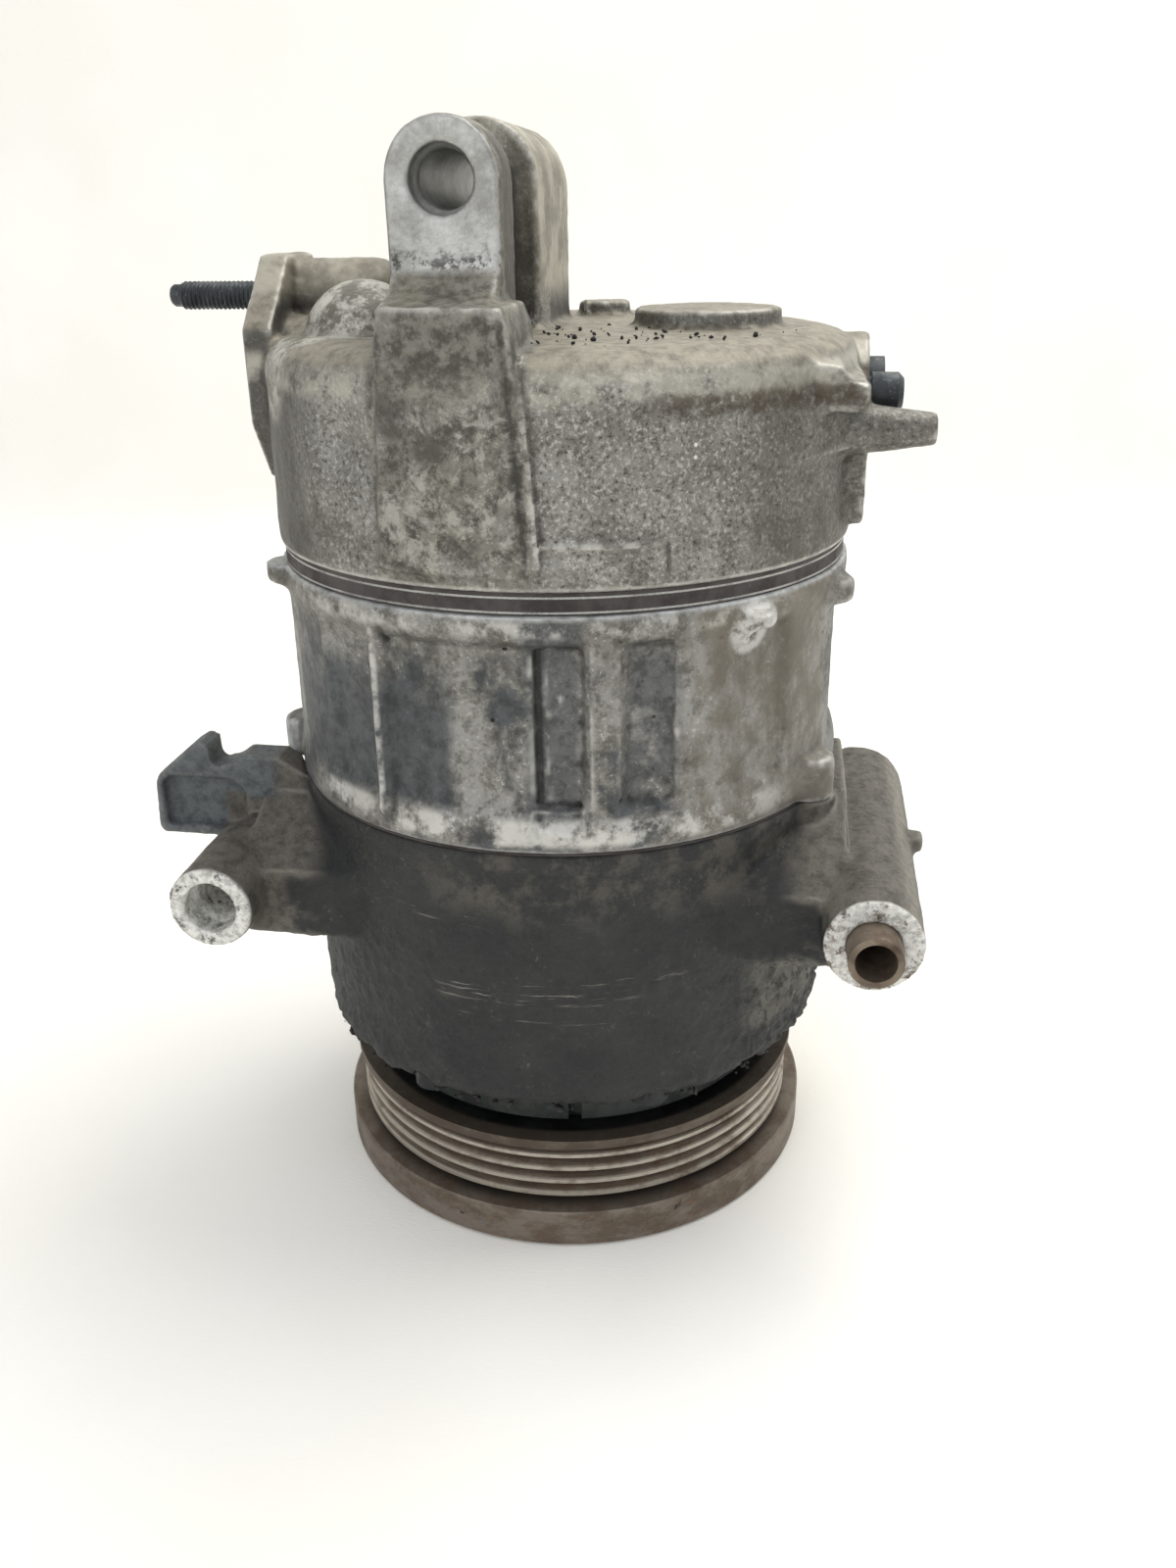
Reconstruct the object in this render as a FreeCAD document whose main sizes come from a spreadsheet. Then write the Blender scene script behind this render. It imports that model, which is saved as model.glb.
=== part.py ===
import FreeCAD, Part
import math
import os
import re

import Sketcher
from FreeCAD import Placement, Rotation, Vector

# Variable-displacement swash-plate compressor for car air conditioning.
# Frame: Z runs along the shaft from the pulley's front face (z = 0, the face the part stands on)
# to the rear head. The three mounting bores run along Y, and their machined faces look to -Y.
# The swash plate tilts about Y; its hinge is on the -X side, so it tips towards the pulley at +X.

DIMENSIONS = {
    # general clearances
    "running_gap": 0.05,
    "loose_gap": 0.3,
    # belt pulley
    "ring_radius": 58.7,
    "ring_length": 9.6,
    "ring_bore_radius": 50.5,
    "ring_edge": 0.8,
    "groove_floor_radius": 53.0,
    "ridge_radius": 55.0,
    "ridge_half_width": 0.45,
    "valley_radius": 52.4,
    "rib_pitch": 3.56,
    "first_ridge_z": 11.9,
    "lip_radius": 56.0,
    "lip_start_z": 25.2,
    "pulley_rear_z": 27.5,
    "friction_face_z": 9.0,
    "friction_web": 4.0,
    "coil_space_outer": 46.8,
    "coil_space_inner": 30.0,
    # pulley bearing
    "bearing_front_z": 11.0,
    "bearing_rear_z": 28.6,
    "bearing_outer_radius": 26.0,
    "bearing_bore_radius": 17.5,
    "outer_race_radius": 24.0,
    "inner_race_radius": 19.5,
    "ball_radius": 2.6,
    "ball_circle": 21.75,
    "ball_row_one_z": 15.6,
    "ball_row_two_z": 24.0,
    "seal_thickness": 0.8,
    # clutch
    "armature_inner_radius": 24.0,
    "armature_outer_radius": 48.5,
    "armature_front_z": 4.1,
    "air_gap": 0.5,
    "hub_flange_radius": 31.0,
    "hub_flange_front_z": 1.8,
    "hub_flange_thickness": 1.6,
    "hub_sleeve_radius": 10.0,
    "hub_seat_z": 4.4,
    "hub_web": 2.0,
    "hub_recess_radius": 7.4,
    "hub_rear_z": 13.9,
    "leaf_length": 30.0,
    "leaf_width": 8.0,
    "leaf_thickness": 0.56,
    "leaf_offset": 26.0,
    "leaf_rivet_reach": 11.0,
    "rivet_radius": 1.9,
    "rivet_head_radius": 3.2,
    "hub_bolt_radius": 3.0,
    "hub_bolt_head_radius": 5.6,
    "hub_bolt_head": 3.2,
    "hub_bolt_length": 14.0,
    # field coil
    "coil_front_z": 14.2,
    "coil_flange_z": 29.2,
    "coil_flange_radius": 50.0,
    "coil_flange_inner": 21.0,
    "coil_outer_radius": 45.8,
    "coil_inner_radius": 31.0,
    "coil_wall": 2.0,
    "coil_screw_circle": 26.0,
    "coil_screw_radius": 2.0,
    "coil_screw_head": 3.6,
    "coil_screw_length": 12.0,
    "coil_notch": 3.0,
    # front housing
    "fit_gap": 0.02,
    "nose_front_z": 8.0,
    "nose_radius": 17.5,
    "nose_shoulder_radius": 20.5,
    "clip_groove_radius": 16.2,
    "clip_front_z": 9.5,
    "clip_thickness": 1.3,
    "clip_outer_radius": 19.2,
    "seal_bore_radius": 12.5,
    "seal_bore_end_z": 31.0,
    "housing_front_z": 34.0,
    "housing_step_radius": 48.5,
    "housing_flare_z": 38.0,
    "housing_radius": 60.8,
    "crankcase_front_z": 47.0,
    "crankcase_radius": 51.8,
    "housing_rear_z": 101.2,
    "housing_rim_radius": 62.0,
    "boss_offset": 70.0,
    "boss_height_z": 82.0,
    "boss_face": 56.0,
    "boss_radius": 9.2,
    "boss_back_radius": 11.6,
    "boss_bore_radius": 5.0,
    "left_boss_length": 50.0,
    "right_boss_length": 84.0,
    "right_boss_radius": 10.2,
    "sleeve_radius": 5.6,
    "sleeve_bore_radius": 4.2,
    "sleeve_proud": 6.5,
    "web_width": 27.0,
    "counterbore_depth": 6.0,
    "left_counterbore_radius": 5.8,
    "block_room_radius": 62.7,
    "lug_room_radius": 6.5,
    # cylinder block
    "block_front_z": 101.7,
    "block_rear_z": 150.3,
    "block_foot_radius": 62.4,
    "block_foot_z": 108.5,
    "block_waist_radius": 61.6,
    "block_flange_z": 145.0,
    "block_flange_radius": 62.6,
    "pocket_low_z": 111.0,
    "pocket_high_z": 144.2,
    "cylinder_circle": 38.0,
    "piston_radius": 15.0,
    "bolt_circle": 55.6,
    "bolt_radius": 3.0,
    "bolt_hole_radius": 3.3,
    "bolt_head_radius": 4.5,
    "bolt_head": 4.0,
    "bolt_head_z": 42.0,
    "bolt_end_z": 172.0,
    "lug_circle": 60.8,
    "lug_round": 5.4,
    "low_lug_circle": 61.0,
    "low_lug_round": 6.0,
    # shaft and its bearings
    "shaft_radius": 8.5,
    "shaft_nose_radius": 6.0,
    "shaft_front_z": 6.6,
    "shaft_step_z": 14.0,
    "shaft_shoulder_z": 127.0,
    "shaft_stub_radius": 5.0,
    "shaft_rear_z": 134.0,
    "needle_radius": 1.0,
    "needle_shell_radius": 11.5,
    "front_needles_z": 32.0,
    "rear_needles_z": 111.0,
    "needle_length": 13.0,
    "block_recess_radius": 19.0,
    "block_recess_z": 110.5,
    "rear_cavity_radius": 13.0,
    "rear_cavity_front_z": 126.0,
    "rear_cavity_rear_z": 144.0,
    "rear_vent_radius": 6.0,
    "thrust_inner_radius": 10.0,
    "thrust_outer_radius": 24.0,
    "thrust_roller_radius": 1.3,
    "washer_thickness": 1.1,
    # swash-plate drive
    "lug_front_z": 51.0,
    "lug_rear_z": 60.0,
    "lug_radius": 45.0,
    "lug_hub_radius": 15.0,
    "lug_hub_z": 63.0,
    "lug_arm_top_z": 83.0,
    "lug_arm_in": 15.0,
    "lug_arm_out": 27.0,
    "lug_arm_inner_y": 6.0,
    "lug_arm_outer_y": 13.0,
    "plate_z": 96.0,
    "plate_radius": 46.0,
    "plate_half_thickness": 4.0,
    "plate_hub_radius": 25.0,
    "plate_hub_drop": 6.0,
    "plate_bore_radius": 17.5,
    "plate_arm_half_width": 5.0,
    "guide_pin_radius": 3.0,
    "guide_pin_x": 20.0,
    "guide_pin_drop": 17.5,
    "guide_pin_half_length": 13.0,
    "sleeve_front_z": 86.0,
    "sleeve_rear_z": 103.0,
    "swash_sleeve_radius": 12.5,
    "pivot_pin_radius": 2.5,
    "pivot_pin_inner": 9.6,
    "pivot_pin_outer": 23.0,
    "spring_radius": 10.6,
    "spring_wire": 0.9,
    "spring_turns": 5.0,
    "spring_height": 22.55,
    # pistons and shoes
    "crown_z": 150.0,
    "piston_head_length": 25.5,
    "shoe_ball_radius": 8.0,
    "shoe_gap": 0.15,
    "neck_tip_radius": 7.4,
    "neck_radius": 11.0,
    "neck_start": 6.3,
    "neck_full": 8.6,
    "piston_tail": 12.5,
    "bridge_inner": 8.6,
    "bridge_outer": 13.2,
    "bridge_half_width": 8.5,
    # valve stack
    "suction_reed_z": 150.6,
    "valve_plate_z": 151.0,
    "discharge_reed_z": 153.4,
    "head_gasket_z": 153.8,
    "head_front_z": 154.5,
    "stack_radius": 61.6,
    "discharge_port_radius": 3.0,
    "discharge_port_circle": 32.0,
    "suction_port_radius": 4.0,
    "suction_port_circle": 45.0,
    # rear head
    "head_radius": 62.5,
    "head_shoulder_z": 190.5,
    "head_top_z": 196.5,
    "chamber_top_z": 177.0,
    "discharge_chamber_radius": 36.5,
    "suction_chamber_inner": 40.0,
    "suction_chamber_outer": 50.0,
    "ear_x": -14.0,
    "ear_z": 223.6,
    "ear_face": 44.0,
    "ear_radius": 10.5,
    "ear_front_length": 13.0,
    "ear_bore_radius": 5.0,
    "ear_counterbore_radius": 5.9,
    "ear_counterbore_depth": 4.0,
    "ear_neck_half_width": 7.5,
    "ear_back_front": 14.0,
    "ear_back_rear": 26.0,
    "ear_back_radius": 12.0,
    "column_left": -26.0,
    "column_right": 1.0,
    "column_face": 63.4,
    "column_top_z": 203.5,
    "pad_x": 31.0,
    "pad_radius": 15.2,
    "pad_top_z": 200.0,
    "port_face": 63.0,
    "port_flange_thickness": 6.2,
    "port_low_z": 166.0,
    "port_high_z": 211.0,
    "port_front": 20.0,
    "port_back": 26.0,
    "suction_port_y": -6.0,
    "discharge_port_y": 14.0,
    "port_bore_z": 184.0,
    "suction_bore_radius": 8.0,
    "discharge_bore_radius": 6.5,
    "port_bore_depth": 21.0,
    "suction_way_radius": 4.6,
    "suction_way_x": -45.0,
    "discharge_way_radius": 5.0,
    "discharge_way_x": -31.0,
    "discharge_run_radius": 5.5,
    "discharge_run": 35.0,
    "way_length": 12.0,
    "passage_length": 34.0,
    "stud_boss_radius": 7.5,
    "stud_boss_length": 20.0,
    "stud_y": 3.0,
    "stud_z": 202.5,
    "stud_root_radius": 3.35,
    "stud_neck_radius": 2.5,
    "stud_neck": 3.0,
    "stud_thread_radius": 2.99,
    "stud_point_radius": 2.2,
    "stud_point": 1.0,
    "stud_length": 24.0,
    "stud_depth": 12.0,
    "valve_boss_y": 12.0,
    "valve_boss_z": 183.0,
    "valve_boss_radius": 11.0,
    "valve_boss_reach": 65.0,
    "control_valve_radius": 7.5,
    "control_valve_length": 40.0,
    "control_valve_end": 68.0,
    "relief_y": -10.0,
    "relief_z": 184.0,
    "relief_radius": 4.0,
    "relief_shank_radius": 2.98,
    "relief_cap": 5.2,
    "relief_dome": 1.1,
    "relief_end": 71.0,
    "stub_z": 178.0,
    "stub_end": 77.5,
    "stub_length": 28.0,
    "stub_y": -18.0,
    # cast hook beside the left boss
    "hook_thickness": 8.0,
    "hook_y": -22.0,
}

CYLINDERS = 7
CYLINDER_STEP = 360.0 / CYLINDERS
# A quarter step off the hinge line, so that every piston has some travel when the plate tilts.
FIRST_CYLINDER = CYLINDER_STEP / 4.0
CYLINDER_ANGLES = [FIRST_CYLINDER + CYLINDER_STEP * index for index in range(CYLINDERS)]
BOLT_ANGLES = [angle + CYLINDER_STEP / 2.0 for angle in CYLINDER_ANGLES]

COIL_SCREW_ANGLES = [30.0, 150.0, 270.0]
STROKE_RATIO = 1.017
LARGEST_TILT = math.radians(15.0)
PIN_STATIONS = 5

# The side outline (Y and Z) of the web that carries each boss of the front housing.
RIGHT_WEB = [
    ("-boss_face + 10", "boss_height_z - 10.5"),
    ("-boss_face + 10", "boss_height_z + 4.5"),
    ("-20", "housing_rear_z - 0.5"),
    ("12", "housing_rear_z - 0.5"),
    ("20", "boss_height_z + 10"),
    ("20", "boss_height_z - 12"),
    ("-36", "boss_height_z - 16"),
]
LEFT_WEB = [
    ("-boss_face + 10", "boss_height_z - 10.5"),
    ("-boss_face + 10", "boss_height_z + 4.5"),
    ("-20", "housing_rear_z - 0.5"),
    ("-8", "boss_height_z + 10"),
    ("-8", "boss_height_z - 12"),
    ("-36", "boss_height_z - 16"),
]

# Start and end angle of each outside pocket of the block, from -Y towards +X, and its depth.
BLOCK_POCKETS = [
    (-43.0, -30.0, "1.2"),
    (-26.6, 2.8, "1.6"),
    (2.8, 11.8, "3.0"),
    (19.4, 28.4, "2.0"),
    (41.5, 55.0, "1.6"),
    (78.0, 98.0, "2.0"),
    (104.0, 124.0, "2.0"),
    (130.0, 150.0, "2.0"),
    (156.0, 176.0, "2.0"),
    (182.0, 202.0, "2.0"),
    (208.0, 228.0, "2.0"),
    (240.0, 256.0, "1.6"),
    (262.0, 284.0, "2.0"),
]

UP = Vector(0, 0, 1)
RIGHT = Vector(1, 0, 0)
LEFT = Vector(-1, 0, 0)
FRONT = Vector(0, -1, 0)
BACK = Vector(0, 1, 0)

doc = FreeCAD.newDocument("compressor")
sheet = doc.addObject("Spreadsheet::Sheet", "dims")
for row, (alias, size) in enumerate(DIMENSIONS.items(), start=1):
    sheet.set("A%d" % row, alias)
    sheet.set("B%d" % row, str(size))
    sheet.setAlias("B%d" % row, alias)
doc.recompute()

parts = []


def bound(text):
    """The expression with each dimension's name pointing at its cell."""
    return re.sub(r"[a-z_]+", lambda word: cell(word.group(0)), str(text))


def cell(word):
    return "dims." + word if word in DIMENSIONS else word


def number(text):
    """The expression's value, for the first guess of a sketch point."""
    filled = re.sub(r"[a-z_]+", lambda word: "(%.6f)" % getattr(sheet, word.group(0)), str(text))
    return FreeCAD.Units.parseQuantity(filled).Value


def place(piece, at, axis=UP, turn=0.0):
    """Point the piece's own Z along axis, turn it about Z and bind where it stands."""
    piece.Placement = Placement(Vector(), Rotation(UP, turn) * Rotation(UP, axis))
    for letter, text in zip("xyz", at):
        piece.setExpression("Placement.Base." + letter, bound(text))
    return piece


def on_circle(radius, angle, height):
    """A point on a circle round the shaft, as three expressions."""
    return ("(%s) * cos(%.6f deg)" % (radius, angle), "(%s) * sin(%.6f deg)" % (radius, angle), height)


def cylinder(name, radius, length, at, axis=UP, turn=0.0):
    piece = doc.addObject("Part::Cylinder", name)
    piece.setExpression("Radius", bound(radius))
    piece.setExpression("Height", bound(length))
    return place(piece, at, axis, turn)


def cone(name, radius_one, radius_two, length, at, axis=UP, turn=0.0):
    piece = doc.addObject("Part::Cone", name)
    piece.setExpression("Radius1", bound(radius_one))
    piece.setExpression("Radius2", bound(radius_two))
    piece.setExpression("Height", bound(length))
    return place(piece, at, axis, turn)


def box(name, length, width, height, at, turn=0.0):
    piece = doc.addObject("Part::Box", name)
    piece.setExpression("Length", bound(length))
    piece.setExpression("Width", bound(width))
    piece.setExpression("Height", bound(height))
    return place(piece, at, UP, turn)


def ball(name, radius, at):
    piece = doc.addObject("Part::Sphere", name)
    piece.setExpression("Radius", bound(radius))
    return place(piece, at)


def torus(name, circle, wire, at):
    piece = doc.addObject("Part::Torus", name)
    piece.setExpression("Radius1", bound(circle))
    piece.setExpression("Radius2", bound(wire))
    return place(piece, at)


def fused(name, pieces):
    union = doc.addObject("Part::MultiFuse", name)
    union.Shapes = pieces
    return union


def joined(name, pieces):
    """One casting, fused piece by piece."""
    body = pieces[0]
    for index, piece in enumerate(pieces[1:], start=1):
        label = name if index == len(pieces) - 1 else "%s_%d" % (name, index)
        union = doc.addObject("Part::Fuse", label)
        union.Base = body
        union.Tool = piece
        body = union
    return body


def group(name, pieces):
    together = doc.addObject("Part::Compound", name)
    together.Links = pieces
    return together


def cut(name, base, tools):
    result = doc.addObject("Part::Cut", name)
    result.Base = base
    result.Tool = tools[0] if len(tools) == 1 else fused(name + "_tools", tools)
    return result


def shared(name, pieces):
    overlap = doc.addObject("Part::MultiCommon", name)
    overlap.Shapes = pieces
    return overlap


def outline_sketch(body, name, plane, points):
    """A closed outline of straight lines whose corners are bound to the sheet."""
    sketch = body.newObject("Sketcher::SketchObject", name)
    origin_plane = [item for item in body.Origin.OriginFeatures if item.Role == plane][0]
    sketch.AttachmentSupport = (origin_plane, [""])
    sketch.MapMode = "FlatFace"
    corners = [Vector(number(across), number(along), 0) for across, along in points]
    count = len(corners)
    for index, corner in enumerate(corners):
        sketch.addGeometry(Part.LineSegment(corner, corners[(index + 1) % count]), False)
    for index in range(count):
        sketch.addConstraint(Sketcher.Constraint("Coincident", index, 2, (index + 1) % count, 1))
    for index, (texts, corner) in enumerate(zip(points, corners)):
        hold(sketch, "DistanceX", index, texts[0], corner.x)
        hold(sketch, "DistanceY", index, texts[1], corner.y)
    return sketch


def hold(sketch, kind, index, text, value):
    """Bind one coordinate of a corner to the sheet, or pin it to the axis if it is zero."""
    if abs(value) < 1e-9:
        axis = -2 if kind == "DistanceX" else -1
        sketch.addConstraint(Sketcher.Constraint("PointOnObject", index, 1, axis))
        return
    added = sketch.addConstraint(Sketcher.Constraint(kind, -1, 1, index, 1, value))
    sketch.setExpression("Constraints[%d]" % added, bound(text))


def turned(name, points, at=("0", "0", "0"), turn=0.0):
    """A body turned about Z from (radius, height) corners."""
    body = doc.addObject("PartDesign::Body", name)
    sketch = outline_sketch(body, name + "_outline", "XZ_Plane", points)
    revolution = body.newObject("PartDesign::Revolution", name + "_turning")
    revolution.Profile = sketch
    revolution.ReferenceAxis = (sketch, ["V_Axis"])
    revolution.Angle = 360.0
    sketch.Visibility = False
    place(body, at, UP, turn)
    return body


def ring(name, inner, outer, low, high):
    """A plain ring between two radii and two heights."""
    return turned(name, [(inner, low), (outer, low), (outer, high), (inner, high)])


def padded(name, plane, points, length, both_ways, at=("0", "0", "0"), turn=0.0):
    """A flat outline on an origin plane, padded to a length."""
    body = doc.addObject("PartDesign::Body", name)
    sketch = outline_sketch(body, name + "_outline", plane, points)
    pad = body.newObject("PartDesign::Pad", name + "_pad")
    pad.Profile = sketch
    pad.setExpression("Length", bound(length))
    pad.Midplane = both_ways
    sketch.Visibility = False
    place(body, at, UP, turn)
    return body


def keep(piece):
    """Count a finished piece among the sub-parts."""
    parts.append(piece)
    return piece


def around(name, angles, radius, circle, low, length):
    """Equal upright cylinders on a circle round the shaft."""
    return [
        cylinder("%s_%d" % (name, index + 1), radius, length, on_circle(circle, angle, low))
        for index, angle in enumerate(angles)
    ]


# ---------------------------------------------------------------- pulley and its bearing


def make_pulley():
    corners = [
        ("outer_race_radius + 0.6", "friction_face_z"),
        ("ring_bore_radius", "friction_face_z"),
        ("ring_bore_radius", "ring_edge"),
        ("ring_bore_radius + ring_edge", "0"),
        ("ring_radius - ring_edge", "0"),
        ("ring_radius", "ring_edge"),
        ("ring_radius", "ring_length - ring_edge / 2"),
        ("ring_radius - ring_edge / 2", "ring_length"),
        ("groove_floor_radius", "ring_length + 0.2"),
        ("groove_floor_radius", "first_ridge_z - 1.2"),
    ]
    for ridge in range(4):
        middle = "first_ridge_z + rib_pitch * %d" % ridge
        corners.append(("ridge_radius", middle + " - ridge_half_width"))
        corners.append(("ridge_radius", middle + " + ridge_half_width"))
        corners.append(("valley_radius", middle + " + rib_pitch / 2"))
    corners += [
        ("lip_radius", "lip_start_z"),
        ("lip_radius", "pulley_rear_z"),
        ("coil_space_outer", "pulley_rear_z"),
        ("coil_space_outer", "friction_face_z + friction_web"),
        ("coil_space_inner", "friction_face_z + friction_web"),
        ("coil_space_inner", "bearing_rear_z"),
        ("bearing_outer_radius", "bearing_rear_z"),
        ("bearing_outer_radius", "bearing_front_z"),
        ("outer_race_radius + 0.6", "bearing_front_z"),
    ]
    blank = turned("pulley_blank", corners)
    slots = [
        box(
            "pulley_slot_%d" % index,
            "2.2",
            "14",
            "friction_web + 2",
            on_circle("38", 60.0 * index + 10.0, "friction_face_z - 1"),
            60.0 * index + 10.0,
        )
        for index in range(6)
    ]
    keep(cut("drive_pulley", blank, slots))


def make_pulley_bearing():
    grooves = [
        torus("groove_%d" % row, "ball_circle", "ball_radius + running_gap", ("0", "0", height))
        for row, height in enumerate(("ball_row_one_z", "ball_row_two_z"))
    ]
    outer = ring(
        "outer_ring_blank", "outer_race_radius", "bearing_outer_radius", "bearing_front_z", "bearing_rear_z"
    )
    inner = ring(
        "inner_ring_blank", "bearing_bore_radius", "inner_race_radius", "bearing_front_z", "bearing_rear_z"
    )
    keep(cut("bearing_outer_ring", outer, grooves))
    keep(cut("bearing_inner_ring", inner, grooves))
    balls = []
    for row, height in enumerate(("ball_row_one_z", "ball_row_two_z")):
        for index in range(14):
            angle = (index + 0.5 * row) * 360.0 / 14
            balls.append(
                ball("ball_%d_%d" % (row, index), "ball_radius", on_circle("ball_circle", angle, height))
            )
    keep(group("bearing_balls", balls))
    lips = [
        ring(
            "seal_lip_%d" % index,
            "inner_race_radius + loose_gap",
            "outer_race_radius - 0.02",
            low,
            low + " + seal_thickness",
        )
        for index, low in enumerate(("bearing_front_z + 0.3", "bearing_rear_z - 1.1"))
    ]
    keep(group("bearing_seals", lips))


# ---------------------------------------------------------------- clutch


def make_hub():
    blank = turned(
        "hub_blank",
        [
            ("hub_bolt_radius + 0.3", "hub_seat_z"),
            ("hub_recess_radius", "hub_seat_z"),
            ("hub_recess_radius", "hub_flange_front_z"),
            ("hub_flange_radius", "hub_flange_front_z"),
            ("hub_flange_radius", "hub_flange_front_z + hub_flange_thickness"),
            ("hub_sleeve_radius", "hub_flange_front_z + hub_flange_thickness"),
            ("hub_sleeve_radius", "hub_rear_z"),
            ("shaft_nose_radius + 0.02", "hub_rear_z"),
            ("shaft_nose_radius + 0.02", "hub_seat_z + hub_web"),
            ("hub_bolt_radius + 0.3", "hub_seat_z + hub_web"),
        ],
    )
    holes = []
    for index in range(3):
        for side, radius in ((-1, "rivet_radius"), (1, "rivet_head_radius + 0.8")):
            holes.append(
                cylinder(
                    "hub_hole_%d_%d" % (index, side),
                    radius,
                    "hub_flange_thickness + 2",
                    leaf_point(index, side, "hub_flange_front_z - 1"),
                )
            )
    keep(cut("clutch_hub", blank, holes))


def leaf_point(index, side, height):
    """Where a leaf spring's rivet stands: side -1 is the hub end, side 1 the armature end."""
    reach = math.degrees(
        math.atan2(side * DIMENSIONS["leaf_rivet_reach"], DIMENSIONS["leaf_offset"])
    )
    radius = "sqrt(leaf_offset * leaf_offset + leaf_rivet_reach * leaf_rivet_reach)"
    return on_circle(radius, 120.0 * index + 90.0 - reach, height)


def make_leaf_springs():
    leaves = []
    for index in range(3):
        angle = 120.0 * index
        across = math.radians(angle)
        start = (
            "leaf_length / -2 * %.6f - (leaf_offset - leaf_width / 2) * %.6f"
            % (math.cos(across), math.sin(across)),
            "leaf_length / -2 * %.6f + (leaf_offset - leaf_width / 2) * %.6f"
            % (math.sin(across), math.cos(across)),
            "hub_flange_front_z + hub_flange_thickness + 0.02",
        )
        leaf = box("leaf_%d" % index, "leaf_length", "leaf_width", "leaf_thickness", start, angle)
        holes = [
            cylinder("leaf_hole_%d_%d" % (index, side), radius, "4", leaf_point(index, side, "2"))
            for side, radius in ((-1, "rivet_radius"), (1, "rivet_radius + 0.4"))
        ]
        leaves.append(cut("leaf_drilled_%d" % index, leaf, holes))
    keep(group("leaf_springs", leaves))


def make_rivets():
    hub_rivets = []
    armature_rivets = []
    for index in range(3):
        front = "hub_flange_front_z - 0.7"
        at_hub = leaf_point(index, -1, "hub_flange_front_z")
        shank = cylinder("hub_rivet_shank_%d" % index, "rivet_radius", "3.4", at_hub)
        under = leaf_point(index, -1, front)
        head = cylinder("hub_rivet_head_%d" % index, "rivet_head_radius", "0.7", under)
        hub_rivets.append(fused("hub_rivet_%d" % index, [shank, head]))
        at_plate = leaf_point(index, 1, "2.8")
        under = leaf_point(index, 1, "2")
        shank = cylinder("plate_rivet_shank_%d" % index, "rivet_radius", "5.6", at_plate)
        head = cylinder("plate_rivet_head_%d" % index, "rivet_head_radius", "0.9", under)
        armature_rivets.append(fused("plate_rivet_%d" % index, [shank, head]))
    keep(group("hub_rivets", hub_rivets))
    keep(group("armature_rivets", armature_rivets))


def make_armature():
    blank = ring(
        "armature_blank",
        "armature_inner_radius",
        "armature_outer_radius",
        "armature_front_z",
        "friction_face_z - air_gap",
    )
    holes = []
    for index in range(3):
        holes.append(
            cylinder("armature_hole_%d" % index, "rivet_radius", "8", leaf_point(index, 1, "2"))
        )
        holes.append(
            cylinder(
                "armature_relief_%d" % index, "rivet_radius + 1.5", "8", leaf_point(index, -1, "2")
            )
        )
        holes.append(
            box(
                "armature_slot_%d" % index,
                "2",
                "16",
                "8",
                on_circle("38", 120.0 * index + 20.0, "2"),
                120.0 * index + 20.0,
            )
        )
    keep(cut("armature_plate", blank, holes))


def make_hub_bolt():
    shank = cylinder("hub_bolt_shank", "hub_bolt_radius", "hub_bolt_length", ("0", "0", "hub_seat_z"))
    flange = cylinder("hub_bolt_flange", "hub_bolt_head_radius + 1.4", "1", ("0", "0", "hub_seat_z - 1"))
    head = doc.addObject("Part::Prism", "hub_bolt_hexagon")
    head.Polygon = 6
    head.setExpression("Circumradius", bound("hub_bolt_head_radius"))
    head.setExpression("Height", bound("hub_bolt_head"))
    place(head, ("0", "0", "hub_seat_z - hub_bolt_head - 0.4"))
    keep(fused("hub_bolt", [shank, flange, head]))


def make_coil():
    blank = turned(
        "coil_blank",
        [
            ("coil_inner_radius", "coil_front_z"),
            ("coil_inner_radius + coil_wall", "coil_front_z"),
            ("coil_inner_radius + coil_wall", "coil_flange_z - coil_wall"),
            ("coil_outer_radius - coil_wall", "coil_flange_z - coil_wall"),
            ("coil_outer_radius - coil_wall", "coil_front_z"),
            ("coil_outer_radius", "coil_front_z"),
            ("coil_outer_radius", "coil_flange_z"),
            ("coil_flange_radius", "coil_flange_z"),
            ("coil_flange_radius", "housing_front_z"),
            ("coil_flange_inner", "housing_front_z"),
            ("coil_flange_inner", "coil_flange_z"),
            ("coil_inner_radius", "coil_flange_z"),
        ],
    )
    angles = COIL_SCREW_ANGLES
    start = "coil_flange_z - 1"
    holes = around("coil_hole", angles, "coil_screw_radius + 0.1", "coil_screw_circle", start, "8")
    holes += around("coil_counterbore", angles, "coil_screw_head + 0.1", "coil_screw_circle", start, "3.6")
    holes.append(
        box("coil_notch_cut", "coil_notch", "coil_notch * 2", "10", ("6", "-coil_flange_radius - 3", "25"))
    )
    keep(cut("coil_cup", blank, holes))
    keep(
        ring(
            "coil_winding",
            "coil_inner_radius + coil_wall + 0.05",
            "coil_outer_radius - coil_wall - 0.05",
            "coil_front_z + 0.6",
            "coil_flange_z - coil_wall - 0.05",
        )
    )
    screws = []
    for index, angle in enumerate(angles):
        shank = cylinder(
            "coil_shank_%d" % index,
            "coil_screw_radius",
            "coil_screw_length",
            on_circle("coil_screw_circle", angle, "coil_flange_z + 1"),
        )
        head = cylinder(
            "coil_head_%d" % index,
            "coil_screw_head",
            "2.2",
            on_circle("coil_screw_circle", angle, "coil_flange_z + 0.3"),
        )
        screws.append(fused("coil_screw_%d" % index, [shank, head]))
    keep(group("coil_screws", screws))


# ---------------------------------------------------------------- front housing


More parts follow.
